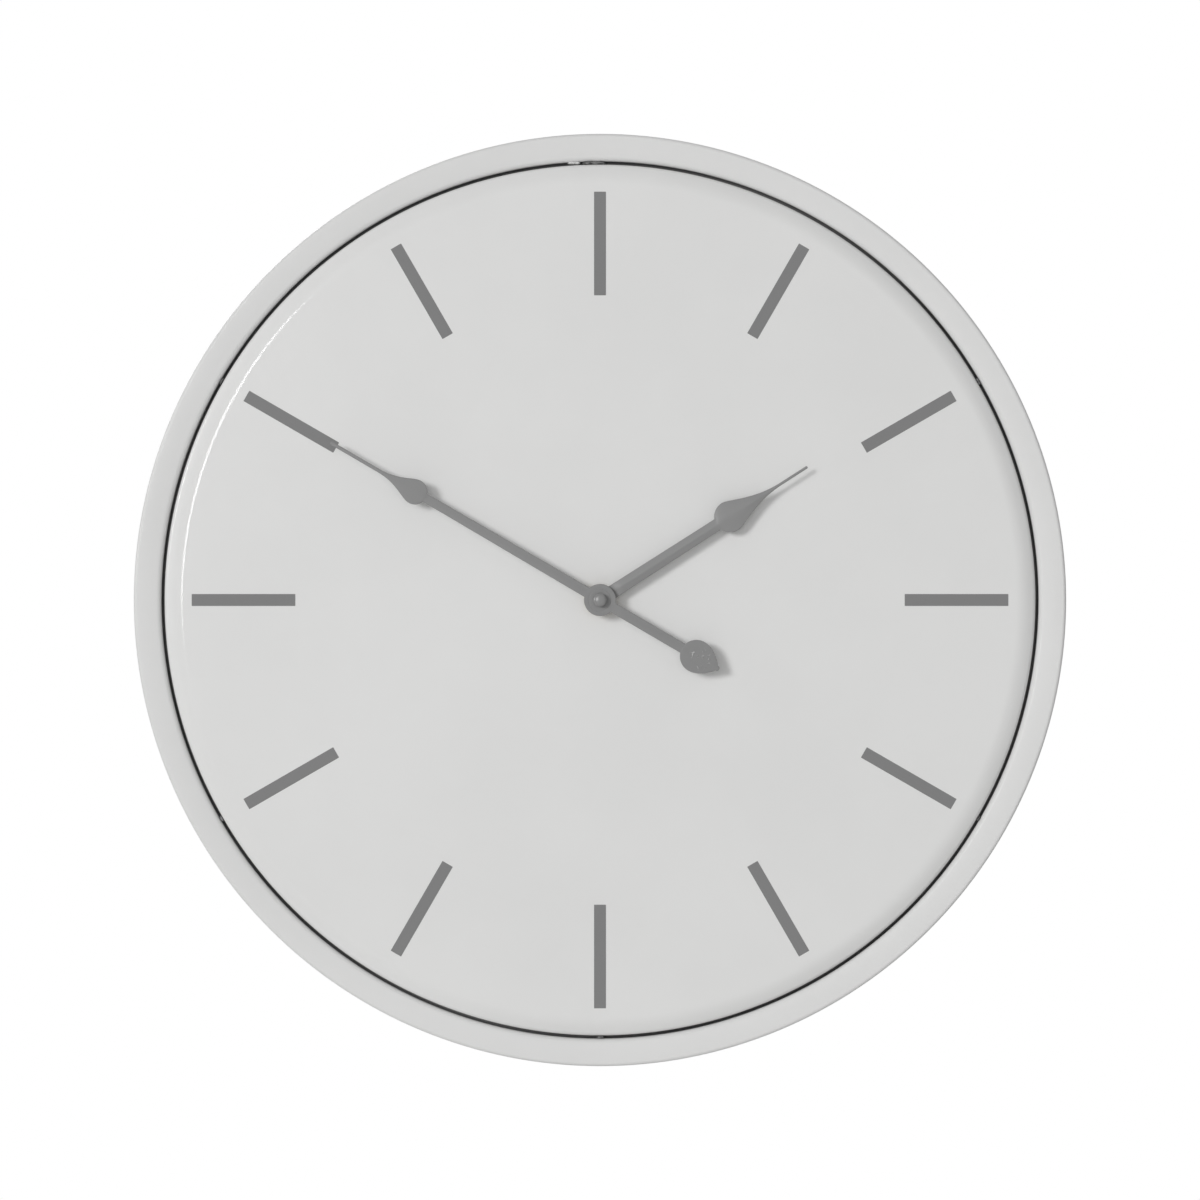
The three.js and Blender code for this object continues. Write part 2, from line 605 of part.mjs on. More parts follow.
function addHanger() {
  const rearY = hoopRearY - HOOP_SHEET - CLEARANCE;
  const frontY = rearY - HANGER_SHEET;
  const halfWidth = HANGER_WIDTH / 2;
  const topLimit = (hoopRadius - HOOP_SHEET) * facetShare - CLEARANCE;
  const top = Math.sqrt(topLimit ** 2 - halfWidth ** 2);
  const headZ = hangDrop - KEYHOLE_SLOT_LENGTH;
  const bottom = headZ - KEYHOLE_HEAD_RADIUS - HANGER_MARGIN;
  const shape = roundedRectangle([-halfWidth, halfWidth], [bottom, top], 1);
  const slot = block(
    [-KEYHOLE_SLOT_WIDTH / 2, KEYHOLE_SLOT_WIDTH / 2],
    [frontY - 1, rearY + 1],
    [headZ, hangDrop],
  );
  const slotEnd = rod(KEYHOLE_SLOT_WIDTH / 2, frontY - 1, rearY + 1, 16).translate(0, 0, hangDrop);
  const headHole = rod(KEYHOLE_HEAD_RADIUS, frontY - 1, rearY + 1, 24).translate(0, 0, headZ);
  const holeRadius = RIVET_RADIUS + CLEARANCE;
  const rivetHoles = rivetPlaces().map((place) => rodAt(holeRadius, [frontY - 1, rearY + 1], place));
  const blank = plate(shape, [frontY, rearY], 2);
  add("hanger_plate", cut(blank, slot, slotEnd, headHole, ...rivetHoles), zincSteel);

  const tailY = frontY - CLEARANCE;
  const headY = hoopRearY + CLEARANCE;
  const rivet = turned([
    [0, tailY - RIVET_HEAD_HEIGHT],
    [RIVET_HEAD_RADIUS * 0.8, tailY - RIVET_HEAD_HEIGHT],
    [RIVET_HEAD_RADIUS, tailY],
    [RIVET_RADIUS, tailY],
    [RIVET_RADIUS, headY],
    [RIVET_HEAD_RADIUS, headY],
    [RIVET_HEAD_RADIUS * 0.8, headY + RIVET_HEAD_HEIGHT],
    [0, headY + RIVET_HEAD_HEIGHT],
  ], SMALL_SEGMENTS);
  rivetPlaces().forEach((place, index) => add(`hanger_rivet_${index + 1}`, rivet, zincSteel, place));

  const lipFlatMiddle = hoopRadius - (REAR_LIP_WIDTH + HOOP_OUTER_CORNER) / 2;
  const pad = rod(WALL_PAD_RADIUS, -WALL_PAD_THICKNESS, 0, 20).translate(0, 0, lipFlatMiddle);
  addAround("wall_pad", pad, rubber, BRACKET_COUNT, bracketAngles()[0]);
}

function addFixings() {
  add("threaded_bush", tube(bushInner, bushOuter, bushFrontY, caseInnerY), brass);
  const gasketFrontY = dialFaceY + DIAL_SHEET + CLEARANCE;
  add("dial_gasket", tube(bushHole, GASKET_RADIUS, gasketFrontY, gasketFrontY + GASKET_THICKNESS), rubber);
  add("dial_washer", tube(bushHole, WASHER_RADIUS, washerFrontY, dialFaceY - CLEARANCE), brass);
  add("fixing_nut", plate(hexagon(FIXING_NUT_FLATS, bushHole), [nutFrontY, washerFrontY - CLEARANCE]), brass);
}

// A flanged sleeve that carries a hand's blade.
function colletGeometry(inner, places) {
  const outer = inner + COLLET_WALL;
  const flange = outer + COLLET_FLANGE_WIDTH;
  return turned([
    [inner, places.frontY],
    [outer, places.frontY],
    [outer, places.flangeFrontY],
    [flange, places.flangeFrontY],
    [flange, places.rearY],
    [inner, places.rearY],
  ]);
}

function addHand(name, hand, tail, shaftRadius, places, material) {
  const inner = shaftRadius + RUNNING_CLEARANCE;
  const shape = handShape(hand, tail, inner + COLLET_WALL + RUNNING_CLEARANCE);
  const blade = plate(shape, [places.bladeFrontY, places.bladeRearY], SMALL_SEGMENTS);
  add(name, blade, material, [0, 0], hand.angle);
  add(`${name}_collet`, colletGeometry(inner, places), brass);
}

function addHands() {
  addHand("hour_hand", HOUR_HAND, null, hourTubeOuter, hourCollet, hourPaint);
  addHand("minute_hand", MINUTE_HAND, MINUTE_TAIL, MINUTE_ARBOR_RADIUS, minuteCollet, minutePaint);
  const bore = MINUTE_ARBOR_RADIUS + RUNNING_CLEARANCE;
  const capRadius = Math.max(CAP_RADIUS, bore + COLLET_WALL);
  const capFrontY = capRearY - CAP_HEIGHT;
  const domeStartY = capRearY - CAP_HEIGHT / 2;
  add("cap_nut", turned([
    [0, capFrontY],
    [capRadius * 0.5, capFrontY + CAP_HEIGHT * 0.08],
    [capRadius * 0.87, capFrontY + CAP_HEIGHT * 0.26],
    [capRadius, domeStartY],
    [capRadius, capRearY],
    [bore, capRearY],
    [bore, capRearY - CAP_BORE_DEPTH],
    [0, capRearY - CAP_BORE_DEPTH],
  ]), minutePaint);
}

function addMovementCase() {
  const outerX = [-roomHalfWidth - CASE_WALL, roomHalfWidth + CASE_WALL];
  const outerZ = [bayBottom - CASE_WALL, roomTop + CASE_WALL];
  const outline = roundedRectangle(outerX, outerZ, CASE_CORNER);
  const room = [-roomHalfWidth, roomHalfWidth];
  const bay = [-bayHalfWidth, bayHalfWidth];
  const wallMiddleY = caseInnerY - CASE_WALL / 2;
  const postEndY = caseInnerY + LAYER.trainPlate[0] - CLEARANCE;
  const pivotHoles = [motionAxis, settingAxis].map((axis) =>
    rodAt(pivotBore, [wallMiddleY, caseInnerY + 1], axis));
  const shell = cut(
    plate(outline, [caseFrontY, caseRearY], 3),
    block(room, [caseInnerY, caseRearY + 1], [roomBottom, roomTop]),
    block(bay, [caseInnerY, caseRearY + 1], [bayBottom, bayTop]),
    rod(bushHole, caseFrontY - 1, caseInnerY + 1),
    ...pivotHoles,
  );
  const posts = cornerPosts().map((place) => rodAt(POST_RADIUS, [wallMiddleY, postEndY], place));
  add("movement_case", join(shell, ...posts), blackPlastic);

  const bossFrontY = pivotEndY - PIVOT_BOSS_HEIGHT;
  const rootY = coverFrontY + CASE_WALL / 2;
  const bosses = [thirdAxis, centreAxis, rotorAxis].map(([x, z]) =>
    tube(pivotBore, PIVOT_BOSS_RADIUS, bossFrontY, rootY, SMALL_SEGMENTS).translate(x, 0, z));
  const pinFrontY = layerY(LAYER.secondsWheel)[0] - CLEARANCE;
  const pin = rodAt(SECONDS_ARBOR_RADIUS, [pinFrontY, rootY], intermediateAxis);
  const cover = cut(
    plate(outline, [coverFrontY, coverRearY], 3),
    block(bay, [coverFrontY - 1, coverRearY + 1], [bayBottom, bayTop]),
    rodAt(SETTING_ARBOR_RADIUS + CLEARANCE, [coverFrontY - 1, coverRearY + 1], settingAxis),
  );
  add("movement_cover", join(cover, ...bosses, pin), blackPlastic);
}

// Corners of the wheel room where the train plate rests, as [x, z].
function cornerPosts() {
  const x = roomHalfWidth - POST_INSET;
  const heights = [roomBottom + POST_INSET, roomTop - POST_INSET];
  return heights.flatMap((z) => [[-x, z], [x, z]]);
}

// Posts from inside a plate's rear face back to a layer that rests on them.
function postsTo(layer, plateRearY, places) {
  const endY = layerY(layer)[0] - CLEARANCE;
  return places.map((place) => rodAt(POST_RADIUS, [plateRearY - CASE_WALL / 2, endY], place));
}

function addTrainPlate() {
  const [frontY, rearY] = layerY(LAYER.trainPlate);
  const half = roomHalfWidth - CLEARANCE;
  const outline = roundedRectangle([-half, half], [roomBottom + CLEARANCE, roomTop - CLEARANCE], 1);
  const drill = (radius, axis) => rodAt(radius, [frontY - 1, rearY + 1], axis);
  const body = cut(
    plate(outline, [frontY, rearY], 2),
    drill(MINUTE_ARBOR_RADIUS + 2 * RUNNING_CLEARANCE, centreAxis),
    drill(pivotBore, thirdAxis),
    drill(pivotBore, rotorAxis),
    drill(pivotBore, motionAxis),
    drill(SETTING_ARBOR_RADIUS + CLEARANCE, settingAxis),
  );
  const [boardX, boardZ] = boardPlace();
  const statorZ = statorHeights();
  const boardPosts = postsTo(LAYER.circuitBoard, rearY, [
    [boardX[0] + POST_INSET, boardZ[0] + POST_INSET],
    [boardX[1] - POST_INSET, boardZ[1] - POST_INSET],
  ]);
  const statorPosts = postsTo(LAYER.stator, rearY, [
    [rotorAxis[0], statorZ[0] + STATOR_ARM_HEIGHT / 2],
    [rotorAxis[0], statorZ[1] - STATOR_ARM_HEIGHT / 2],
  ]);
  add("train_plate", join(body, ...boardPosts, ...statorPosts), blackPlastic);
}

function boardPlace() {
  const left = -roomHalfWidth + BOARD_MARGIN;
  const top = roomTop - BOARD_MARGIN;
  return [[left, left + BOARD_SIZE[0]], [top - BOARD_SIZE[1], top]];
}

// A wheel with its pinion on one arbor, about its own axis.
function wheelAndPinion(wheel, pinion, arborFrontY, arborRearY) {
  return join(
    plate(gearShape(wheel.teeth, wheel.module, wheel.phase), wheel.depth),
    plate(gearShape(pinion.teeth, pinion.module, pinion.phase), pinion.depth),
    rod(SECONDS_ARBOR_RADIUS, arborFrontY, arborRearY, SMALL_SEGMENTS),
  );
}

function addMotionWork() {
  const [wheelFrontY, wheelRearY] = layerY(LAYER.hourWheel);
  const motionDepth = layerY(LAYER.motionWork);
  const plateMiddleY = caseInnerY + (LAYER.trainPlate[0] + LAYER.trainPlate[1]) / 2;
  const arborRearY = layerY(LAYER.thirdWheel)[0] - CLEARANCE;
  const seat = caseInnerY - CASE_WALL / 2 + CLEARANCE;

  const cannonPhase = 0;
  const motionPhase = meshPhase(cannonPhase, CANNON_TEETH, MOTION_TEETH, MOTION_DIRECTION);
  const settingPhase = meshPhase(motionPhase, MOTION_TEETH, CANNON_TEETH, SETTING_DIRECTION);
  const hourPhase = meshPhase(0, MOTION_PINION_TEETH, HOUR_TEETH, MOTION_DIRECTION + 180);

  const arbor = tube(pivotBore, MINUTE_ARBOR_RADIUS, capRearY, arborRearY - CLEARANCE);
  const stub = rod(MINUTE_ARBOR_RADIUS, minuteArborFrontY, capRearY + 1);
  const cannon = gearShape(CANNON_TEETH, motionModule, cannonPhase, MINUTE_ARBOR_RADIUS - RUNNING_CLEARANCE);
  add("minute_arbor", join(arbor, stub, plate(cannon, motionDepth)), brass);

  const hourGear = gearShape(HOUR_TEETH, hourModule, hourPhase, hourTubeInner + HOUR_TUBE_WALL / 2);
  const hourTube = tube(hourTubeInner, hourTubeOuter, hourTubeFrontY, wheelRearY);
  add("hour_wheel", join(plate(hourGear, [wheelFrontY, wheelRearY]), hourTube), whiteNylon);

  add("motion_wheel", wheelAndPinion(
    { teeth: MOTION_TEETH, module: motionModule, phase: motionPhase, depth: motionDepth },
    { teeth: MOTION_PINION_TEETH, module: hourModule, phase: 0, depth: [wheelFrontY, motionDepth[1]] },
    seat, plateMiddleY,
  ), whiteNylon, motionAxis);

  const settingArbor = rod(SETTING_ARBOR_RADIUS, motionDepth[0] - CLEARANCE, coverRearY + KNOB_HEIGHT / 2);
  const settingPivot = rod(SECONDS_ARBOR_RADIUS, seat, motionDepth[1], SMALL_SEGMENTS);
  const settingGear = plate(gearShape(CANNON_TEETH, motionModule, settingPhase), motionDepth);
  add("setting_pinion", join(settingArbor, settingPivot, settingGear), whiteNylon, settingAxis);

  const knobFrontY = coverRearY + CLEARANCE;
  const knobBore = SETTING_ARBOR_RADIUS + CLEARANCE;
  const boreEndY = coverRearY + KNOB_HEIGHT / 2 + CLEARANCE;
  add("setting_knob", turned([
    [0, boreEndY],
    [knobBore, boreEndY],
    [knobBore, knobFrontY],
    [KNOB_RADIUS, knobFrontY],
    [KNOB_RADIUS, knobFrontY + KNOB_HEIGHT - KNOB_EDGE],
    [KNOB_RADIUS - KNOB_EDGE, knobFrontY + KNOB_HEIGHT],
    [0, knobFrontY + KNOB_HEIGHT],
  ], 24), blackPlastic, settingAxis);
}

function addGoingTrain() {
  const centreDepth = layerY(LAYER.centreWheel);
  const thirdDepth = layerY(LAYER.thirdWheel);
  const secondsDepth = layerY(LAYER.secondsWheel);
  const intermediateDepth = layerY(LAYER.intermediateWheel);
  const plateMiddleY = caseInnerY + (LAYER.trainPlate[0] + LAYER.trainPlate[1]) / 2;

  const rotorPhase = 0;
  const intermediatePhase = meshPhase(rotorPhase, PINION_TEETH, INTERMEDIATE_TEETH, TRAIN_DIRECTION + 180);
  const secondsPhase = meshPhase(0, PINION_TEETH, SECONDS_TEETH, TRAIN_DIRECTION + 180);
  const thirdPhase = meshPhase(0, PINION_TEETH, THIRD_TEETH, THIRD_DIRECTION);
  const centrePhase = meshPhase(0, PINION_TEETH, CENTRE_TEETH, THIRD_DIRECTION + 180);

  const thirdPinionDepth = [centreDepth[0] - PINION_OVERLAP, thirdDepth[1]];
  const secondsPinionDepth = [thirdDepth[0] - PINION_OVERLAP, secondsDepth[1]];
  const centreHole = MINUTE_ARBOR_RADIUS + CLEARANCE;
  const centreGear = plate(gearShape(CENTRE_TEETH, TRAIN_MODULE, centrePhase, centreHole), centreDepth, 8);
  add("centre_wheel", centreGear, whiteNylon);

  add("third_wheel", wheelAndPinion(
    { teeth: THIRD_TEETH, module: thirdModule, phase: thirdPhase, depth: thirdDepth },
    { teeth: PINION_TEETH, module: TRAIN_MODULE, phase: 0, depth: thirdPinionDepth },
    plateMiddleY, pivotEndY - CLEARANCE,
  ), whiteNylon, thirdAxis);

  add("seconds_wheel", wheelAndPinion(
    { teeth: SECONDS_TEETH, module: TRAIN_MODULE, phase: secondsPhase, depth: secondsDepth },
    { teeth: PINION_TEETH, module: thirdModule, phase: 0, depth: secondsPinionDepth },
    caseFrontY, pivotEndY - CLEARANCE,
  ), whiteNylon, centreAxis);

  const pinHole = SECONDS_ARBOR_RADIUS + BORE_GAP;
  const intermediateWheel = gearShape(INTERMEDIATE_TEETH, TRAIN_MODULE, intermediatePhase, pinHole);
  const intermediatePinion = gearShape(PINION_TEETH, TRAIN_MODULE, 0, pinHole);
  add("intermediate_wheel", join(
    plate(intermediateWheel, intermediateDepth),
    plate(intermediatePinion, [secondsDepth[0] - PINION_OVERLAP, intermediateDepth[1]]),
  ), whiteNylon, intermediateAxis);

  const [magnetFrontY, magnetRearY] = layerY(LAYER.rotorMagnet);
  add("rotor_magnet", tube(pinHole, MAGNET_RADIUS, magnetFrontY, magnetRearY), magnetGrey, rotorAxis);
  const pinionDepth = layerY(LAYER.rotorPinion);
  add("rotor_pinion", join(
    plate(gearShape(PINION_TEETH, TRAIN_MODULE, rotorPhase), pinionDepth),
    rod(SECONDS_ARBOR_RADIUS, plateMiddleY, pivotEndY - CLEARANCE, SMALL_SEGMENTS),
  ), whiteNylon, rotorAxis);
}

// Bottom and top of the stator, which spans the wheel room.
function statorHeights() {
  return [roomBottom + STATOR_FOOT_MARGIN, roomTop - STATOR_HEAD_MARGIN];
}

function addMotor() {
  const barX = [rotorAxis[0] - STATOR_BAR_WIDTH / 2, rotorAxis[0] + STATOR_BAR_WIDTH / 2];
  const statorZ = statorHeights();
  const armX = [barX[1] - 1, coilX + CORE_WIDTH / 2];
  const depth = layerY(LAYER.stator);
  const rotorHole = rodAt(STATOR_HOLE_RADIUS, [depth[0] - 1, depth[1] + 1], rotorAxis);
  add("stator", cut(join(
    block(barX, depth, statorZ),
    block(armX, depth, [statorZ[0], statorZ[0] + STATOR_ARM_HEIGHT]),
    block(armX, depth, [statorZ[1] - STATOR_ARM_HEIGHT, statorZ[1]]),
  ), rotorHole), softIron);

  const coreDepth = layerY(LAYER.coilCore);
  const coreX = [coilX - CORE_WIDTH / 2, coilX + CORE_WIDTH / 2];
  add("coil_core", block(coreX, coreDepth, statorZ), softIron);

  const coilY = (coreDepth[0] + coreDepth[1]) / 2;
  const bobbinInset = STATOR_ARM_HEIGHT + BOBBIN_END_GAP;
  const coilZ = [statorZ[0] + bobbinInset, statorZ[1] - bobbinInset];
  const length = coilZ[1] - coilZ[0];
  const flange = BOBBIN_FLANGE_THICKNESS;
  const onCoilAxis = (geometry) => geometry.rotateX(Math.PI / 2).translate(coilX, coilY, coilZ[0]);
  const spool = onCoilAxis(turned([
    [0, 0],
    [BOBBIN_FLANGE_RADIUS, 0],
    [BOBBIN_FLANGE_RADIUS, flange],
    [BOBBIN_BARREL_RADIUS, flange],
    [BOBBIN_BARREL_RADIUS, length - flange],
    [BOBBIN_FLANGE_RADIUS, length - flange],
    [BOBBIN_FLANGE_RADIUS, length],
    [0, length],
  ], 16));
  const bore = block(
    [coreX[0] - BORE_GAP, coreX[1] + BORE_GAP],
    [coreDepth[0] - BORE_GAP, coreDepth[1] + BORE_GAP],
    [coilZ[0] - 1, coilZ[1] + 1],
  );
  add("coil_bobbin", cut(spool, bore), whiteNylon);

  const windingInner = BOBBIN_BARREL_RADIUS + RUNNING_CLEARANCE;
  const windingInset = flange + CLEARANCE;
  const winding = tube(windingInner, windingInner + WINDING_THICKNESS, windingInset, length - windingInset);
  add("coil_winding", onCoilAxis(winding), copper);
}

function addElectronics() {
  const [boardX, boardZ] = boardPlace();
  const boardDepth = layerY(LAYER.circuitBoard);
  add("circuit_board", block(boardX, boardDepth, boardZ), greenBoard);
  const partsY = boardDepth[1] + CLEARANCE;
  const crystal = rod(CRYSTAL_RADIUS, -CRYSTAL_LENGTH / 2, CRYSTAL_LENGTH / 2, 16).rotateZ(Math.PI / 2);
  crystal.translate(boardX[0] + CRYSTAL_PLACE[0], partsY + CRYSTAL_RADIUS, boardZ[0] + CRYSTAL_PLACE[1]);
  add("quartz_crystal", crystal, zincSteel);
  const chip = turned([
    [0, partsY],
    [CHIP_RADIUS, partsY],
    [CHIP_RADIUS * 0.8, partsY + CHIP_HEIGHT * 0.7],
    [CHIP_RADIUS * 0.4, partsY + CHIP_HEIGHT],
    [0, partsY + CHIP_HEIGHT],
  ], 16);
  add("chip_cover", chip, blackPlastic, [boardX[0] + CHIP_PLACE[0], boardZ[0] + CHIP_PLACE[1]]);
}

function addBattery() {
  const start = -BATTERY_LENGTH / 2;
  const shoulder = BATTERY_LENGTH / 2 - BATTERY_NUB_LENGTH;
  const radius = BATTERY_DIAMETER / 2;
  const cell = turned([
    [0, start],
    [radius - BATTERY_EDGE, start],
    [radius, start + BATTERY_EDGE],
    [radius, shoulder - BATTERY_EDGE],
    [radius - BATTERY_EDGE, shoulder],
    [BATTERY_NUB_RADIUS, shoulder],
    [BATTERY_NUB_RADIUS, BATTERY_LENGTH / 2],
    [0, BATTERY_LENGTH / 2],
  ], 24).rotateZ(-Math.PI / 2).translate(0, batteryY, 0);
  add("battery_cell", cell, cellSleeve, [0, batteryZ]);

  const outerX = bayHalfWidth - CLEARANCE;
  const innerX = outerX - CONTACT_SHEET;
  const contactDepth = [caseInnerY + CONTACT_FRONT_MARGIN, caseRearY - CONTACT_REAR_MARGIN];
  const strip = (xRange) => block(xRange, contactDepth, [-CONTACT_WIDTH / 2, CONTACT_WIDTH / 2]);
  add("contact_positive", strip([innerX, outerX]), zincSteel, [0, batteryZ]);
  const reach = innerX - BATTERY_LENGTH / 2 - CLEARANCE;
  const dimple = turned([
    [0, 0],
    [CONTACT_DIMPLE_RADIUS, 0],
    [CONTACT_DIMPLE_RADIUS * 0.4, reach],
    [0, reach],
  ]).rotateZ(-Math.PI / 2).translate(-innerX, batteryY, 0);
  add("contact_negative", join(strip([-outerX, -innerX]), dimple), zincSteel, [0, batteryZ]);
}

addHoopAndDial();
addBrackets();
addHanger();
addFixings();
addHands();
addMovementCase();
addTrainPlate();
addMotionWork();
addGoingTrain();
addMotor();
addElectronics();
addBattery();

const group = new THREE.Group();
group.add(clock);
export default group;
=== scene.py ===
"""Looks of a round wall clock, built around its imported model.

New pieces are closed surfaces worked out with numpy, and a few are copies of the model's own nodes with
eased edges. The frame is the clock's: +Z up, the dial facing -Y, the origin at the hanging point. Sizes are
in millimetres from the hand axis until a mesh is made.
"""

import json
import logging
import math
from dataclasses import dataclass, field
from enum import Enum
from typing import Any, Iterable, Sequence

import bmesh
import bpy
import numpy as np
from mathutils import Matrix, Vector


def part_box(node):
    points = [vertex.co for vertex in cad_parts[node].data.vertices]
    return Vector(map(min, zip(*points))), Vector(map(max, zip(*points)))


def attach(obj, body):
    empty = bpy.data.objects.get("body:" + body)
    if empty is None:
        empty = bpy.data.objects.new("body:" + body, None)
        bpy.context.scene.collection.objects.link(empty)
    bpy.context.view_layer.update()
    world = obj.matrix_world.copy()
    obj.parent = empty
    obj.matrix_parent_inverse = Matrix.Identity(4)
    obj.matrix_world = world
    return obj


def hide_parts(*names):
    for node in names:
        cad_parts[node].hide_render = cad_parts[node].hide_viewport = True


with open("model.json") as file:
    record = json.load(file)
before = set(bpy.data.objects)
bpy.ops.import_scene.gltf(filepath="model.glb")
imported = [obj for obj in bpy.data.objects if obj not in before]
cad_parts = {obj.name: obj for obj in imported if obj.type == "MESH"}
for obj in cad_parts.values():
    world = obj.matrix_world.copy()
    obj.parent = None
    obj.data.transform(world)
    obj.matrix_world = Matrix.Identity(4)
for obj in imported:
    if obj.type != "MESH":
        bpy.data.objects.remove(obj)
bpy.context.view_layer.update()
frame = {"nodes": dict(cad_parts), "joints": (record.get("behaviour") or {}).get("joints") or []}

LOG = logging.getLogger("wall_clock")
MM = 0.001
HAND_AXIS_Z = frame["joints"][0]["pos_m"][2] / MM
CREASE = 32.0  # degrees between two faces, past which their edge is shown sharp
CORNER_ROOM = 0.49  # share of a side that one rounded corner may use
MERGE_GAP = 2e-7  # metres between points of a new mesh that are merged
WELD_GAP = 1e-6  # the same for a copy of a CAD node
NO_LENGTH = 1e-8  # metres below which an edge is dropped
FLAT_ANGLE = 1.0  # degrees between two faces that count as one flat face

Point = tuple[float, float]
Corner = tuple[float, float, float]
Colour = tuple[float, float, float]


# ---- Measures taken from the frame ----

@dataclass(frozen=True)
class Span:
    """The box of a CAD node, in millimetres from the hand axis."""

    low: np.ndarray
    high: np.ndarray

    @classmethod
    def of(cls, node: str) -> "Span":
        """Measures a CAD node.

        Args:
            node: the node's name.

        Returns:
            Its span from the hand axis.
        """
        low, high = (np.array(corner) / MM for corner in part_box(node))
        drop = np.array([0.0, 0.0, HAND_AXIS_Z])
        return cls(low - drop, high - drop)

    @property
    def centre(self) -> np.ndarray:
        """The middle of the box."""
        return (self.low + self.high) / 2

    @property
    def front(self) -> float:
        """The depth of the face towards the viewer."""
        return float(self.low[1])

    @property
    def rear(self) -> float:
        """The depth of the face towards the wall."""
        return float(self.high[1])

    @property
    def reach(self) -> float:
        """How far the box goes to the right of the hand axis."""
        return float(self.high[0])

    @property
    def radius(self) -> float:
        """Half of the box's width."""
        return float(self.high[0] - self.low[0]) / 2

    @property
    def axis(self) -> Point:
        """The middle of the box as (x, z)."""
        return float(self.centre[0]), float(self.centre[2])


# ---- Surfaces ----

class Ends(Enum):
    """How a grid of rings is finished at its first and last ring."""

    JOINED = "the last ring meets the first"
    POINTED = "the end rings have shrunk to a point"
    CAPPED = "a flat face closes each end"


def arc(centre: Point, radius: float | Point, start: float, end: float, steps: int) -> np.ndarray:
    """Points on a circle or an ellipse: centre plus radius times (cos, sin) of evenly spaced angles.

    Args:
        centre: the centre.
        radius: one radius, or one for each axis.
        start: the first angle in degrees.
        end: the last angle in degrees.
        steps: how many steps lie between them.

    Returns:
        An array of steps + 1 points.
    """
    angles = np.radians(np.linspace(start, end, steps + 1))
    return np.array(centre) + np.array(radius) * np.stack([np.cos(angles), np.sin(angles)], axis=1)


def bezier(points: Sequence[Point], steps: int) -> np.ndarray:
    """A cubic curve: the four points weighted by the Bernstein terms of an even parameter.

    Args:
        points: the four points.
        steps: how many steps the curve is cut into.

    Returns:
        An array of steps + 1 points.
    """
    t = np.linspace(0, 1, steps + 1)[:, None]
    a, b, c, d = (np.array(p) for p in points)
    return a * (1 - t) ** 3 + 3 * b * t * (1 - t) ** 2 + 3 * c * t ** 2 * (1 - t) + d * t ** 3


def rounded(corners: Sequence[Corner], steps: int = 5, closed: bool = True) -> np.ndarray:
    """A polygon whose corners are arcs that touch both of their sides.

    A corner of half angle h and radius r starts r / tan(h) along each side, and its centre lies r / sin(h)
    along the bisector.

    Args:
        corners: each corner as (across, depth, radius); a radius of 0 keeps it sharp.
        steps: the steps of each arc.
        closed: whether the last corner joins the first.

    Returns:
        The outline's points.
    """
    places = np.array([corner[:2] for corner in corners])
    pieces = []
    for index, (here, (_, _, radius)) in enumerate(zip(places, corners)):
        is_end = not closed and index in (0, len(places) - 1)
        if radius <= 0 or is_end:
            pieces.append(here[None])
            continue
        back, ahead = (places[(index + step) % len(places)] - here for step in (-1, 1))
        back_way, ahead_way = (side / np.linalg.norm(side) for side in (back, ahead))
        half = math.acos(float(np.clip(back_way @ ahead_way, -1, 1))) / 2
        room = CORNER_ROOM * min(np.linalg.norm(back), np.linalg.norm(ahead)) * math.tan(half)
        reach = min(radius, room)
        bisector = (back_way + ahead_way) / np.linalg.norm(back_way + ahead_way)
        centre = here + bisector * reach / math.sin(half)
        first, last = (here + way * reach / math.tan(half) - centre for way in (back_way, ahead_way))
        start, end = (math.degrees(math.atan2(spoke[1], spoke[0])) for spoke in (first, last))
        turn = (end - start + 180) % 360 - 180
        pieces.append(arc(tuple(centre), reach, start, start + turn, steps))
    return np.concatenate(pieces)


def block(left: float, right: float, low: float, high: float, corner: float, steps: int) -> np.ndarray:
    """An upright rectangle with round corners.

    Args:
        left: its left side.
        right: its right side.
        low: its lower side.
        high: its upper side.
        corner: the radius of its corners.
        steps: the steps of each corner.

    Returns:
        The outline's points.
    """
    corners = [(left, low, corner), (right, low, corner), (right, high, corner), (left, high, corner)]
    return rounded(corners, steps=steps)


def full_turn(steps: int) -> np.ndarray:
    """The angles of a full turn in even steps, one to a row."""
    return np.linspace(0, 2 * math.pi, steps, endpoint=False)[:, None]


def about_axis(angles: np.ndarray, radius: np.ndarray, depth: np.ndarray,
               centre: Point = (0, 0)) -> np.ndarray:
    """Rings about a line along Y: x and z are the radius times the sine and cosine of the angle.

    Args:
        angles: the angles, one to a row.
        radius: the radius of each point.
        depth: the depth of each point.
        centre: the line as (x, z).

    Returns:
        An array of angles by points by (x, y, z).
    """
    x = centre[0] + radius * np.sin(angles)
    z = centre[1] + radius * np.cos(angles)
    return np.stack([x, np.broadcast_to(depth, x.shape), z], axis=-1)


def layers(flat: np.ndarray, depths: Sequence[float]) -> np.ndarray:
    """Rings that follow upright outlines, one at each depth.

    Args:
        flat: one outline of (x, z) for every depth, or one for each.
        depths: the depths.

    Returns:
        An array of depths by points by (x, y, z).
    """
    outlines = np.broadcast_to(flat, (len(depths), *flat.shape[-2:]))
    depth = np.broadcast_to(np.array(depths)[:, None], outlines.shape[:2])
    return np.stack([outlines[..., 0], depth, outlines[..., 1]], axis=-1)


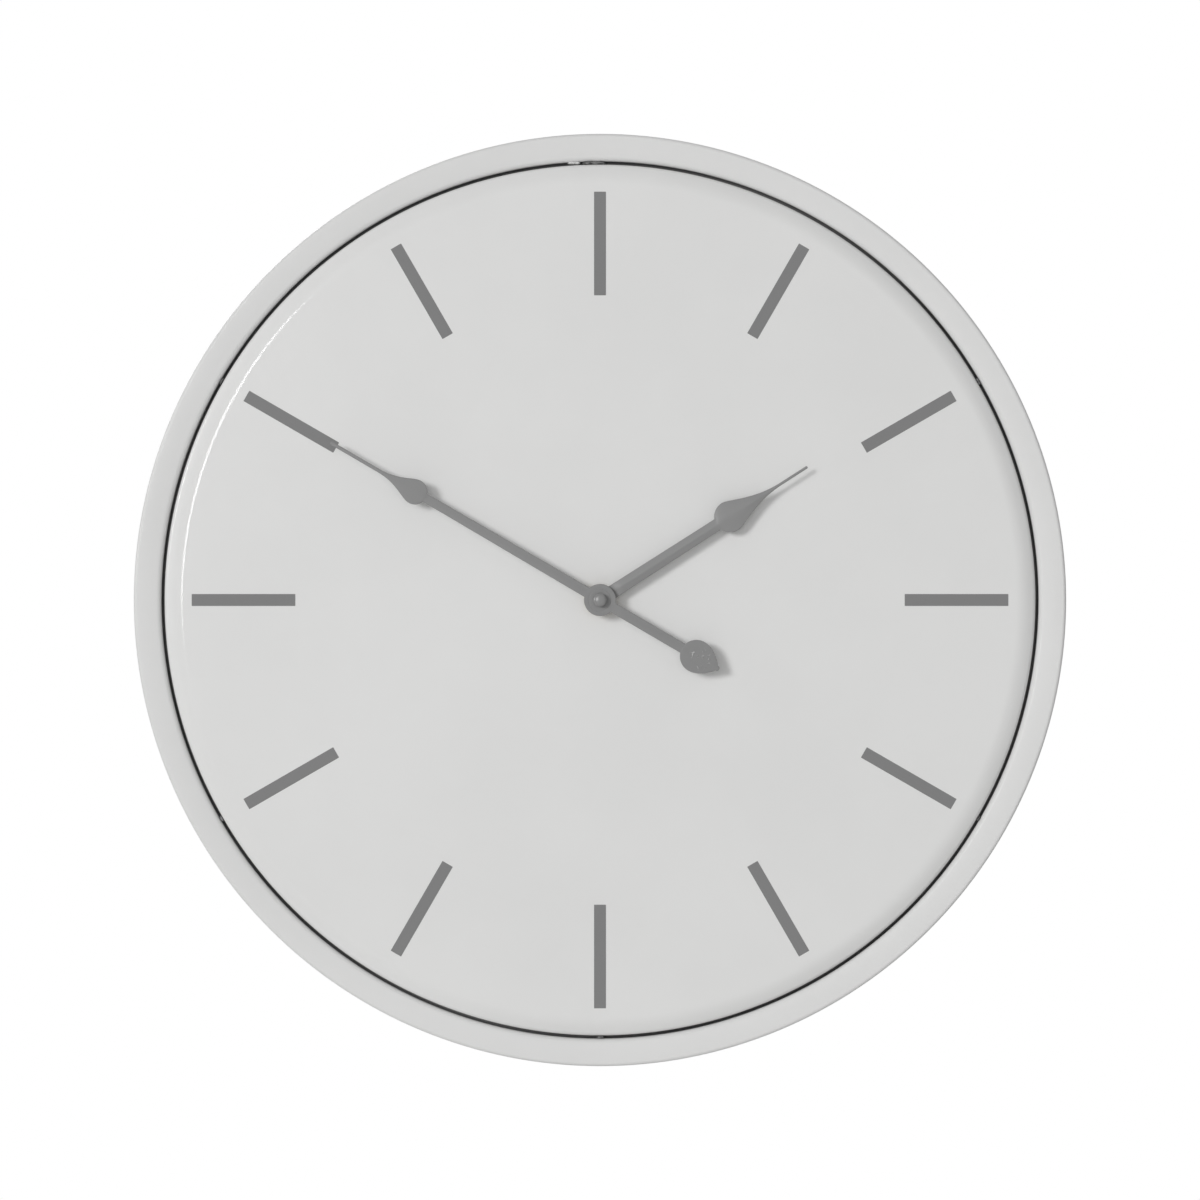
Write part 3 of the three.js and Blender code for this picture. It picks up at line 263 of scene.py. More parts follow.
def mesh_piece(name: str, rings: np.ndarray, ends: Ends, loop: bool = True,
               crease: float = CREASE) -> bpy.types.Object:
    """Makes a closed piece from a grid of points.

    Each point joins its neighbour in its own ring and the same point of the next ring. Points that fall
    together are merged, so that a ring shrunk to a point becomes a pole, and the faces are turned outwards.

    Args:
        name: the piece's name.
        rings: an array of rings by points by (x, y, z), in millimetres from the hand axis.
        ends: how the first and last ring are finished.
        loop: whether a ring's last point joins its first.
        crease: the angle in degrees past which an edge is shown sharp.

    Returns:
        The new object, at the origin.
    """
    count, width = rings.shape[:2]
    index = np.arange(count * width).reshape(count, width)
    across = np.roll(index, -1, axis=1) if loop else index[:, 1:]
    here = index if loop else index[:, :-1]
    if ends is Ends.JOINED:
        faces = np.stack([here, across, np.roll(across, -1, axis=0), np.roll(here, -1, axis=0)], axis=-1)
    else:
        faces = np.stack([here[:-1], across[:-1], across[1:], here[1:]], axis=-1)
    face_list = faces.reshape(-1, 4).tolist()
    if ends is Ends.CAPPED:
        face_list += [index[0].tolist(), index[-1].tolist()]
    placed = (rings.reshape(-1, 3) + np.array([0.0, 0.0, HAND_AXIS_Z])) * MM
    mesh = bpy.data.meshes.new(name)
    mesh.from_pydata(placed.tolist(), [], face_list)
    return finish_mesh(name, mesh, crease)


def finish_mesh(name: str, mesh: bpy.types.Mesh, crease: float) -> bpy.types.Object:
    """Merges a mesh's doubles, turns its faces outwards, shades it smooth and puts it in the scene.

    Args:
        name: the piece's name.
        mesh: the mesh, in metres.
        crease: the angle in degrees past which an edge is shown sharp.

    Returns:
        The new object, at the origin.
    """
    work = bmesh.new()
    work.from_mesh(mesh)
    bmesh.ops.remove_doubles(work, verts=work.verts, dist=MERGE_GAP)
    bmesh.ops.dissolve_degenerate(work, edges=work.edges, dist=NO_LENGTH)
    bmesh.ops.recalc_face_normals(work, faces=work.faces)
    work.to_mesh(mesh)
    work.free()
    mesh.shade_smooth()
    mesh.set_sharp_from_angle(angle=math.radians(crease))
    piece = bpy.data.objects.new(name, mesh)
    bpy.context.scene.collection.objects.link(piece)
    return piece


def joined(name: str, pieces: Sequence[bpy.types.Object]) -> bpy.types.Object:
    """Puts several meshes into one piece, whose bodies stay separate closed shells.

    Args:
        name: the new piece's name.
        pieces: the objects to join, which are removed.

    Returns:
        The joined object.
    """
    work = bmesh.new()
    for piece in pieces:
        work.from_mesh(piece.data)
        bpy.data.objects.remove(piece)
    mesh = bpy.data.meshes.new(name)
    work.to_mesh(mesh)
    work.free()
    whole = bpy.data.objects.new(name, mesh)
    bpy.context.scene.collection.objects.link(whole)
    return whole


def revolve(name: str, profile: np.ndarray, centre: Point = (0, 0), segments: int = 64,
            loop: bool = True, crease: float = CREASE) -> bpy.types.Object:
    """Turns a profile about an axis along Y.

    Args:
        name: the piece's name.
        profile: points of (radius, depth).
        centre: the axis as (x, z).
        segments: the steps of a full turn.
        loop: whether the profile closes on itself; otherwise both ends lie on the axis.
        crease: the angle in degrees past which an edge is shown sharp.

    Returns:
        The new object.
    """
    rings = about_axis(full_turn(segments), profile[:, 0][None], profile[:, 1][None], centre)
    return mesh_piece(name, rings, Ends.JOINED, loop, crease)


def turned_about_y(points: np.ndarray, degrees: float) -> np.ndarray:
    """Turns points clockwise about the hand axis, as seen from the front.

    Args:
        points: points of (x, y, z) in millimetres from the hand axis.
        degrees: the turn.

    Returns:
        The turned points.
    """
    sine, cosine = math.sin(math.radians(degrees)), math.cos(math.radians(degrees))
    x, y, z = points[..., 0], points[..., 1], points[..., 2]
    return np.stack([x * cosine + z * sine, y, z * cosine - x * sine], axis=-1)


def slab(name: str, outline: np.ndarray, front: float, rear: float, edge: float) -> bpy.types.Object:
    """A flat piece with eased edges: copies of an outline drawn in by a quarter circle at both faces.

    Args:
        name: the piece's name.
        outline: points of (x, z), whose middle is inside it.
        front: the front face's depth.
        rear: the rear face's depth.
        edge: the radius of the eased edges.

    Returns:
        The new object.
    """
    angles = np.radians(np.linspace(0, 90, 4))
    draw_in = 1 - np.sin(angles)
    ease = edge * (1 - np.cos(angles))
    inset = edge * np.concatenate([draw_in, draw_in[::-1]])
    depth = np.concatenate([front + ease, (rear - ease)[::-1]])
    step_back = np.roll(outline, 1, axis=0) - np.roll(outline, -1, axis=0)
    normal = np.stack([-step_back[:, 1], step_back[:, 0]], axis=1)
    normal /= np.linalg.norm(normal, axis=1, keepdims=True)
    middle = outline.mean(axis=0)
    normal *= np.sign(np.sum(normal * (outline - middle), axis=1)).mean().round() or 1
    flat = outline[None] - normal[None] * inset[:, None, None]
    return mesh_piece(name, layers(flat, depth), Ends.CAPPED)


def carve(piece: bpy.types.Object, cutter: bpy.types.Object) -> bpy.types.Object:
    """Cuts one closed piece out of another and removes the cutter.

    Args:
        piece: what is cut.
        cutter: the shape taken away.

    Returns:
        The cut piece.
    """
    modifier = piece.modifiers.new("cut", "BOOLEAN")
    modifier.operation = "DIFFERENCE"
    modifier.solver = "EXACT"
    modifier.object = cutter
    bpy.context.view_layer.update()
    shape = piece.evaluated_get(bpy.context.evaluated_depsgraph_get())
    cut_mesh = bpy.data.meshes.new_from_object(shape)
    piece.modifiers.clear()
    piece.data = cut_mesh
    cut_mesh.shade_smooth()
    cut_mesh.set_sharp_from_angle(angle=math.radians(CREASE))
    bpy.data.objects.remove(cutter)
    return piece


def eased_copy(name: str, node: str, edge: float, crease: float = 35) -> bpy.types.Object:
    """A CAD node's shape with its sharp edges eased by a small bevel.

    Args:
        name: the piece's name.
        node: the CAD node that it is copied from.
        edge: the bevel's width in millimetres.
        crease: the angle in degrees past which an edge is bevelled.

    Returns:
        The new object.
    """
    work = bmesh.new()
    work.from_mesh(frame["nodes"][node].data)
    bmesh.ops.remove_doubles(work, verts=work.verts, dist=WELD_GAP)
    flat = math.radians(FLAT_ANGLE)
    bmesh.ops.dissolve_limit(work, angle_limit=flat, verts=work.verts, edges=work.edges)
    mesh = bpy.data.meshes.new(name)
    work.to_mesh(mesh)
    work.free()
    piece = finish_mesh(name, mesh, crease)
    bevel = piece.modifiers.new("eased_edges", "BEVEL")
    bevel.width = edge * MM
    bevel.segments = 2
    bevel.limit_method = "ANGLE"
    bevel.angle_limit = math.radians(crease)
    bevel.harden_normals = True
    return piece


# ---- Shader graphs ----

@dataclass
class Value:
    """A number socket that Python's operators turn into Math nodes."""

    graph: "Graph"
    socket: bpy.types.NodeSocket

    def math(self, operation: str, *operands: "Value | float") -> "Value":
        """Adds a Math node on the operands.

        Args:
            operation: the node's operation.
            operands: its inputs in order.

        Returns:
            Its result.
        """
        made = self.graph.node("ShaderNodeMath", {"operation": operation}, dict(enumerate(operands)))
        return Value(self.graph, made.outputs[0])

    def __add__(self, other: "Value | float") -> "Value":
        """self + other."""
        return self.math("ADD", self, other)

    def __radd__(self, other: float) -> "Value":
        """other + self."""
        return self.math("ADD", other, self)

    def __sub__(self, other: "Value | float") -> "Value":
        """self - other."""
        return self.math("SUBTRACT", self, other)

    def __rsub__(self, other: float) -> "Value":
        """other - self."""
        return self.math("SUBTRACT", other, self)

    def __mul__(self, other: "Value | float") -> "Value":
        """self * other."""
        return self.math("MULTIPLY", self, other)

    def __rmul__(self, other: float) -> "Value":
        """other * self."""
        return self.math("MULTIPLY", other, self)

    def __abs__(self) -> "Value":
        """The size of the value."""
        return self.math("ABSOLUTE", self)

    def root(self) -> "Value":
        """The square root of the value."""
        return self.math("SQRT", self)

    def sine(self) -> "Value":
        """The sine of the value in radians."""
        return self.math("SINE", self)

    def step(self, low: float, high: float) -> "Value":
        """A smooth rise from 0 to 1.

        Args:
            low: the value up to which the result is 0.
            high: the value from which it is 1.

        Returns:
            The result.
        """
        settings = {"interpolation_type": "SMOOTHSTEP", "clamp": True}
        inputs = {0: self, 1: low, 2: high, 3: 0.0, 4: 1.0}
        return Value(self.graph, self.graph.node("ShaderNodeMapRange", settings, inputs).outputs[0])


class Graph:
    """The nodes of one material, with its Principled shader."""

    def __init__(self, name: str) -> None:
        """Starts a material of that name.

        Args:
            name: the material's name.
        """
        self.material = bpy.data.materials.new(name)
        self.material.use_nodes = True
        self.tree = self.material.node_tree
        self.tree.nodes.clear()
        self.shader = self.node("ShaderNodeBsdfPrincipled")
        output = self.node("ShaderNodeOutputMaterial")
        self.tree.links.new(self.shader.outputs[0], output.inputs["Surface"])
        self.place = self.node("ShaderNodeTexCoord").outputs["Object"]
        self.colour: bpy.types.NodeSocket | None = None

    def node(self, kind: str, settings: dict[str, Any] | None = None,
             inputs: dict[str | int, Any] | None = None) -> bpy.types.Node:
        """Adds a node.

        Args:
            kind: the node's type.
            settings: its own settings, which are set first.
            inputs: a value, a Value or a socket for each input, by name or number.

        Returns:
            The new node.
        """
        made = self.tree.nodes.new(kind)
        for key, value in (settings or {}).items():
            setattr(made, key, value)
        for key, value in (inputs or {}).items():
            self.feed(made.inputs[key], value)
        return made

    def feed(self, socket: bpy.types.NodeSocket, value: Any) -> None:
        """Gives an input socket a link or a constant.

        Args:
            socket: the input.
            value: a Value, an output socket or a constant.
        """
        source = value.socket if isinstance(value, Value) else value
        if isinstance(source, bpy.types.NodeSocket):
            self.tree.links.new(source, socket)
        else:
            socket.default_value = source

    def set(self, **sockets: Any) -> None:
        """Gives the shader's sockets their values.

        Args:
            sockets: a link or a constant for each socket, whose name has underscores for spaces.
        """
        for key, value in sockets.items():
            self.feed(self.shader.inputs[key.replace("_", " ")], value)

    def moved(self, turn: float = 0.0, centre: Sequence[float] = (0, 0, 0),
              stretch: Sequence[float] = (1, 1, 1)) -> bpy.types.NodeSocket:
        """Object coordinates about a centre, turned about Y and then stretched.

        Args:
            turn: the clockwise turn in degrees.
            centre: the point in metres that becomes the origin.
            stretch: the scale along each axis.

        Returns:
            The coordinates' socket.
        """
        shift = {0: self.place, 1: tuple(centre)}
        about = self.node("ShaderNodeVectorMath", {"operation": "SUBTRACT"}, shift).outputs[0]
        inputs = {"Vector": about, "Rotation": (0, -math.radians(turn), 0), "Scale": tuple(stretch)}
        return self.node("ShaderNodeMapping", {"vector_type": "POINT"}, inputs).outputs[0]

    def noise(self, size: float, detail: float = 2, place: bpy.types.NodeSocket | None = None,
              distortion: float = 0.0) -> Value:
        """A noise from 0 to 1.

        Args:
            size: the size of its features in millimetres.
            detail: how many finer layers it has.
            place: the coordinates, if not the object's own.
            distortion: how far it is warped.

        Returns:
            The noise.
        """
        inputs = {"Vector": place or self.place, "Scale": 1 / (size * MM), "Detail": detail,
                  "Roughness": 0.55, "Distortion": distortion}
        return Value(self, self.node("ShaderNodeTexNoise", {}, inputs).outputs[0])

    def axes(self, place: bpy.types.NodeSocket | None = None) -> list[Value]:
        """The three numbers of a place."""
        parts = self.node("ShaderNodeSeparateXYZ", {}, {0: place or self.place})
        return [Value(self, output) for output in parts.outputs]

    def mix(self, share: Value | float, first: Any, second: Any) -> bpy.types.NodeSocket:
        """A colour between two colours."""
        settings = {"data_type": "RGBA", "blend_type": "MIX"}
        return self.node("ShaderNodeMix", settings, {0: share, 6: first, 7: second}).outputs[2]

    def bump(self, height: Value, depth: float,
             normal: bpy.types.NodeSocket | None = None) -> bpy.types.NodeSocket:
        """A normal bent by a height from 0 to 1.

        Args:
            height: the height.
            depth: what a height of 1 stands for, in millimetres.
            normal: an earlier bump that this one adds to.

        Returns:
            The bent normal.
        """
        inputs = {"Strength": 1.0, "Distance": depth * MM, "Height": height}
        if normal is not None:
            inputs["Normal"] = normal
        return self.node("ShaderNodeBump", {}, inputs).outputs[0]


def shade(colour: Colour, factor: float) -> tuple[float, float, float, float]:
    """A colour made lighter or darker, with full alpha."""
    return (*(min(1.0, part * factor) for part in colour), 1.0)


# ---- Finishes ----

@dataclass(frozen=True)
class Paint:
    """Sprayed satin enamel: a faint cloudiness, an orange-peel skin and a little dust in the gloss."""

    name: str
    colour: Colour
    roughness: float = 0.42
    coat: float = 0.25
    coat_roughness: float = 0.16
    cloud: float = 0.012
    cloud_size: float = 70.0
    peel: float = 0.006
    peel_size: float = 1.6
    specks: float = 0.03
    speck_size: float = 0.9
    speck_shade: float = 0.7
    speck_roughness: float = 0.1
    wipe: float = 0.08
    wipe_size: float = 9.0

    def base(self) -> tuple[Graph, Value]:
        """Builds the colour and gloss.

        Returns:
            The graph and the height of its orange peel.
        """
        graph = Graph(self.name)
        cloud = graph.noise(self.cloud_size, 3)
        speck = graph.noise(self.speck_size, 1).step(0.68, 0.8)
        light, dark = shade(self.colour, 1 + self.cloud), shade(self.colour, 1 - self.cloud)
        clouded = graph.mix(cloud.step(0.3, 0.7), dark, light)
        graph.colour = graph.mix(speck * self.specks, clouded, shade(self.colour, self.speck_shade))
        graph.set(Base_Color=graph.colour)
        wiped = (graph.noise(self.wipe_size, 3) - 0.5) * self.wipe
        graph.set(Roughness=self.roughness + wiped + speck * self.speck_roughness)
        graph.set(Coat_Weight=self.coat, Coat_Roughness=self.coat_roughness)
        return graph, graph.noise(self.peel_size, 2)

    def build(self) -> bpy.types.Material:
        """Makes the material.

        Returns:
            The material.
        """
        graph, peel = self.base()
        graph.set(Normal=graph.bump(peel, self.peel))
        return graph.material


@dataclass(frozen=True)
class GapPaint(Paint):
    """Enamel whose colour is darkened to near black deep inside the narrow gap round the dial, as painted
    shade.
    """

    # the colour of the painted shade deep in the gap
    painted_gap_shade: Colour = (0.11, 0.11, 0.11)
    inner: float = 196.0
    outer: float = 197.8
    start: float = -31.6
    end: float = -25.4

    def build(self) -> bpy.types.Material:
        """Makes the material.

        Returns:
            The material.
        """
        graph, peel = self.base()
        x, y, z = graph.axes(graph.moved(0, (0, 0, HAND_AXIS_Z * MM), (1000, 1000, 1000)))
        reach = (x * x + z * z).root()
        ring = reach.step(self.inner, self.inner + 0.12) * (1 - reach.step(self.outer - 0.12, self.outer))
        # painted shade: where the gap is narrow and deep, the enamel's colour is darkened
        inside = ring * y.step(self.start, self.start + 1.6) * (1 - y.step(self.end - 0.15, self.end))
        graph.set(Base_Color=graph.mix(inside, graph.colour, shade(self.painted_gap_shade, 1)))
        graph.set(Normal=graph.bump(peel, self.peel))
        return graph.material


@dataclass(frozen=True)
class HandPaint(Paint):
    """Grey enamel on a blanked hand, with the ring that the hub was pressed with and a few small dimples,
    whose colour is lightened as painted glints.
    """

    turn: float = 0.0
    ring_radius: float = 0.0
    dent_glint_centre: float = 0.0

    def build(self) -> bpy.types.Material:
        """Makes the material.

        Returns:
            The material.
        """
        graph, peel = self.base()
        centre = (0, 0, HAND_AXIS_Z * MM)
        x, _, z = graph.axes(graph.moved(self.turn, centre, (1000, 1000, 1000)))
        normal = graph.bump(peel, self.peel)
        if self.ring_radius:
            reach = (x * x + z * z).root()
            groove = 1 - abs(reach - self.ring_radius).step(0.12, 0.42)
            normal = graph.bump(1 - groove, 0.05, normal)
        if self.dent_glint_centre:
            near = 1 - (x * x + (z - self.dent_glint_centre) * (z - self.dent_glint_centre)).root().step(3.5, 6.0)
            dents_and_glints = graph.noise(1.5, 1, distortion=0.8).step(0.6, 0.68) * near
            normal = graph.bump(dents_and_glints, 0.2, normal)
            # painted glints: the dimples are bumped and also lightened in colour
            graph.set(Base_Color=graph.mix(dents_and_glints * 0.9, graph.colour, shade(self.colour, 2.1)))
        graph.set(Normal=normal)
        return graph.material


class Lay(Enum):
    """The direction of a metal's surface lines."""

    NONE = (1.0, 1.0, 1.0)
    ALONG_X = (0.04, 1.0, 1.0)
    ALONG_Z = (1.0, 1.0, 0.04)


@dataclass(frozen=True)
class Metal:
    """Bare or plated metal with fine surface lines, stains and a soft change of gloss."""

    name: str
    colour: Colour
    roughness: float
    lay: Lay = Lay.NONE
    line_size: float = 0.35
    line_depth: float = 0.004
    tarnish: Colour | None = None
    turned: bool = False
    stain_size: float = 11.0
    stain_share: float = 0.55
    stain_shade: float = 0.78
    gloss_change: float = 0.12

    def build(self) -> bpy.types.Material:
        """Makes the material.

        Returns:
            The material.
        """
        graph = Graph(self.name)
        if self.turned:
            x, y, z = graph.axes(graph.moved(0, (0, 0, HAND_AXIS_Z * MM)))
            rings = ((x * x + z * z).root() + y) * (2 * math.pi / (self.line_size * MM))
            lines = rings.sine() * 0.5 + 0.5
        else:
            lines = graph.noise(self.line_size, 2, graph.moved(stretch=self.lay.value))
        stain = graph.noise(self.stain_size, 4).step(0.42, 0.72)
        dull = shade(self.tarnish or self.colour, self.stain_shade)
        stained = graph.mix(stain * self.stain_share, shade(self.colour, 1), dull)
        graph.set(Base_Color=stained, Metallic=1.0)
        graph.set(Roughness=self.roughness + (lines - 0.5) * self.gloss_change + stain * self.gloss_change)
        graph.set(Normal=graph.bump(lines, self.line_depth))
        return graph.material


@dataclass(frozen=True)
class Plastic:
    """Moulded plastic with a spark-eroded grain and slightly polished high spots."""

    name: str
    colour: Colour
    roughness: float
    grain: float = 0.45
    grain_depth: float = 0.012
    specular: float = 0.5

    def build(self) -> bpy.types.Material:
        """Makes the material.

        Returns:
            The material.
        """
        graph = Graph(self.name)
        grain = graph.noise(self.grain, 2)
        flow = graph.noise(16, 3, distortion=0.6)
        dark, light = shade(self.colour, 0.9), shade(self.colour, 1.12)
        graph.set(Base_Color=graph.mix(flow.step(0.3, 0.75), dark, light))
        graph.set(Roughness=self.roughness + (flow - 0.5) * 0.1 - grain.step(0.6, 0.85) * 0.06)
        graph.set(Specular_IOR_Level=self.specular, Normal=graph.bump(grain, self.grain_depth))
        return graph.material


@dataclass(frozen=True)
class Winding:
    """Enamelled wire wound in close coils along Z, its colour darkened between neighbouring wires as painted
    shade.
    """

    name: str
    colour: Colour
    pitch: float = 0.22

    def build(self) -> bpy.types.Material:
        """Makes the material.

        Returns:
            The material.
        """
        graph = Graph(self.name)
        _, _, z = graph.axes()
        wire_turns_and_shade = abs((z * (math.pi / (self.pitch * MM))).sine())
        # painted shade: the colour darkens in the crevices between neighbouring wires
        graph.set(Base_Color=graph.mix(wire_turns_and_shade, shade(self.colour, 0.35), shade(self.colour, 1)), Metallic=1.0)
        graph.set(Roughness=0.42 - wire_turns_and_shade * 0.14, Normal=graph.bump(wire_turns_and_shade, 0.06))
        return graph.material


@dataclass(frozen=True)
class SolderMask:
    """A green board whose tracks show through as straight raised lines."""

    name: str
    colour: Colour
    pitch: float = 1.27

    def build(self) -> bpy.types.Material:
        """Makes the material.

        Returns:
            The material.
        """
        graph = Graph(self.name)
        x, _, z = graph.axes()
        rise = 2 * math.pi / (self.pitch * MM)
        lanes = (x * rise).sine().step(0.2, 0.4) * graph.noise(6, 0).step(0.5, 0.54)
        rows = (z * rise).sine().step(0.2, 0.4) * (1 - graph.noise(6, 0).step(0.46, 0.5))
        tracks = lanes + rows
        graph.set(Base_Color=graph.mix(tracks, shade(self.colour, 0.75), shade(self.colour, 1.5)))
        graph.set(Roughness=0.35 + graph.noise(1.2) * 0.1, Normal=graph.bump(tracks, 0.035))
        return graph.material


@dataclass(frozen=True)
class CellSleeve:
    """A printed shrink sleeve in two tones that meet at a band, over bare metal ends."""

    name: str
    body: Colour
    tip: Colour
    steel: Colour
    low: float
    high: float
    line: Colour = (0.85, 0.85, 0.83)

    def build(self) -> bpy.types.Material:
        """Makes the material.

        Returns:
            The material.
        """
        graph = Graph(self.name)
        x, _, _ = graph.axes()
        x = x * (1 / MM)
        length = self.high - self.low
        tip = x.step(self.low + length * 0.69, self.low + length * 0.692)
        band = tip * (1 - x.step(self.low + length * 0.71, self.low + length * 0.712))
        metal = x.step(self.high - 1.35, self.high - 1.3) + (1 - x.step(self.low + 0.45, self.low + 0.5))
        scuff = graph.noise(3.5, 4).step(0.6, 0.75)
        tones = graph.mix(tip, shade(self.body, 1), shade(self.tip, 1))
        printed = graph.mix(band, tones, shade(self.line, 1))
        graph.set(Base_Color=graph.mix(metal, printed, shade(self.steel, 1)), Metallic=metal)
        graph.set(Roughness=0.26 + scuff * 0.14, Coat_Weight=0.3, Coat_Roughness=0.12)
        graph.set(Normal=graph.bump(graph.noise(0.7), 0.004))
        return graph.material


@dataclass
class Palette:
    """Every finish on the clock, each built once, when it is first used."""

    finishes: dict[str, Any] = field(default_factory=dict)
    made: dict[str, bpy.types.Material] = field(default_factory=dict)

    def add(self, *finishes: Any) -> None:
        """Registers finishes under their own names."""
        self.finishes.update({finish.name: finish for finish in finishes})

    def material(self, name: str) -> bpy.types.Material:
        """The material of that name.

        Args:
            name: the finish's name.

        Returns:
            Its material.
        """
        if name not in self.made:
            self.made[name] = self.finishes[name].build()
        return self.made[name]


def clock_palette() -> Palette:
    """The clock's own paints, metals and plastics.

    Returns:
        The palette.
    """
    palette = Palette()
    cell = Span.of("battery_cell")
    hands = {"colour": (0.245, 0.245, 0.245), "roughness": 0.4, "coat": 0.12, "coat_roughness": 0.25,
             "cloud": 0.02, "peel": 0.008, "specks": 0.1}
    palette.add(
        GapPaint("hoop_enamel", (0.755, 0.755, 0.75)),
        GapPaint("dial_enamel", (0.785, 0.785, 0.779), coat=0.5, coat_roughness=0.08, peel=0.002),
        Paint("tack_enamel", (0.16, 0.16, 0.16), cloud=0.85, cloud_size=2.2, peel=0.03),
        Paint("print_ink", (0.224, 0.224, 0.225), roughness=0.6, coat=0.0, peel=0.004, specks=0.12),
        Paint("cap_enamel", (0.25, 0.25, 0.25), roughness=0.3, coat=1.0, peel=0.003),
        HandPaint("minute_enamel", turn=HandSet.minute_turn, ring_radius=5.1, dent_glint_centre=-52.0, **hands),
        HandPaint("hour_enamel", turn=HandSet.hour_turn, **(hands | {"colour": (0.262, 0.262, 0.262)})),
        Metal("turned_brass", (0.72, 0.55, 0.26), 0.28, tarnish=(0.5, 0.35, 0.17), turned=True),
        Metal("zinc_plate", (0.62, 0.64, 0.66), 0.36, Lay.ALONG_X, tarnish=(0.5, 0.5, 0.47)),
        Metal("zinc_cast", (0.6, 0.62, 0.64), 0.34, line_size=0.8, tarnish=(0.45, 0.45, 0.43)),
        Metal("soft_iron", (0.42, 0.43, 0.45), 0.42, Lay.ALONG_Z),
        Plastic("case_plastic", (0.018, 0.018, 0.019), 0.5),
        Plastic("knob_plastic", (0.022, 0.022, 0.023), 0.4, grain=0.9, grain_depth=0.004),
        Plastic("nylon", (0.74, 0.72, 0.66), 0.38, grain=1.5, grain_depth=0.004),
        Plastic("rubber", (0.028, 0.028, 0.027), 0.8, grain=0.6, grain_depth=0.02, specular=0.25),
        Plastic("ferrite", (0.045, 0.046, 0.05), 0.45, grain=0.3, grain_depth=0.006),
        Plastic("chip_resin", (0.014, 0.014, 0.014), 0.3, grain=1.1, grain_depth=0.02),
        Winding("copper_winding", (0.72, 0.34, 0.16)),
        SolderMask("solder_mask", (0.02, 0.13, 0.05)),
        CellSleeve("cell_sleeve", (0.03, 0.03, 0.032), (0.05, 0.16, 0.33), (0.6, 0.61, 0.62),
                   float(cell.low[0]), float(cell.high[0])),
    )
    return palette


# ---- Sub-assemblies ----

@dataclass
class SubAssembly:
    """A group of pieces that ride on one body of the frame."""

    palette: Palette

    def mount(self, piece: bpy.types.Object, finish: str, slot: str, body: str = "case",
              replaced: Iterable[str] = ()) -> bpy.types.Object:
        """Dresses a piece, fixes it to its body and hides the CAD nodes that it stands for.

        Args:
            piece: the piece.
            finish: the finish's name.
            slot: the record's material slot; not used.
            body: the body that it rides on.
            replaced: the CAD nodes that it stands for.

        Returns:
            The piece.
        """
        piece.data.materials.clear()
        piece.data.materials.append(self.palette.material(finish))
        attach(piece, body)
        nodes = list(replaced)
        if nodes:
            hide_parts(*nodes)
        LOG.info("%s: %d faces, %s, on %s", piece.name, len(piece.data.polygons), finish, body)
        return piece


@dataclass
class Hoop(SubAssembly):
    """The deep painted hoop, a channel of bent sheet open towards the middle at its back."""

    sheet: float = 1.2
    face_width: float = 12.4
    face_dish: float = 1.2
    lip_depth: float = 7.5
    rear_lip: float = 10.0
    outer_corner: float = 1.5
    inner_corner: float = 2.5
    cut_edge: float = 0.35

    def build(self) -> None:
        """Makes the hoop from its bent section."""
        span = Span.of("frame_hoop")
        outer, face, rear = span.reach, span.front, span.rear
        inner, lip = outer - self.face_width, outer - self.rear_lip
        lip_end, sheet, edge = face + self.lip_depth, self.sheet, self.cut_edge
        section = rounded([
            (inner, lip_end, edge),
            (inner, face + self.face_dish, self.inner_corner),
            (outer, face, self.outer_corner),
            (outer, rear, self.outer_corner),
            (lip, rear, edge),
            (lip, rear - sheet, edge),
            (outer - sheet, rear - sheet, self.outer_corner - sheet),
            (outer - sheet, face + sheet, self.outer_corner - sheet),
            (inner + sheet, face + self.face_dish + sheet, self.inner_corner - sheet),
            (inner + sheet, lip_end, edge),
        ], steps=7)
        hoop = revolve("hoop_shell", section, segments=256)
        self.mount(hoop, "hoop_enamel", "hoop_paint", replaced=["frame_hoop"])


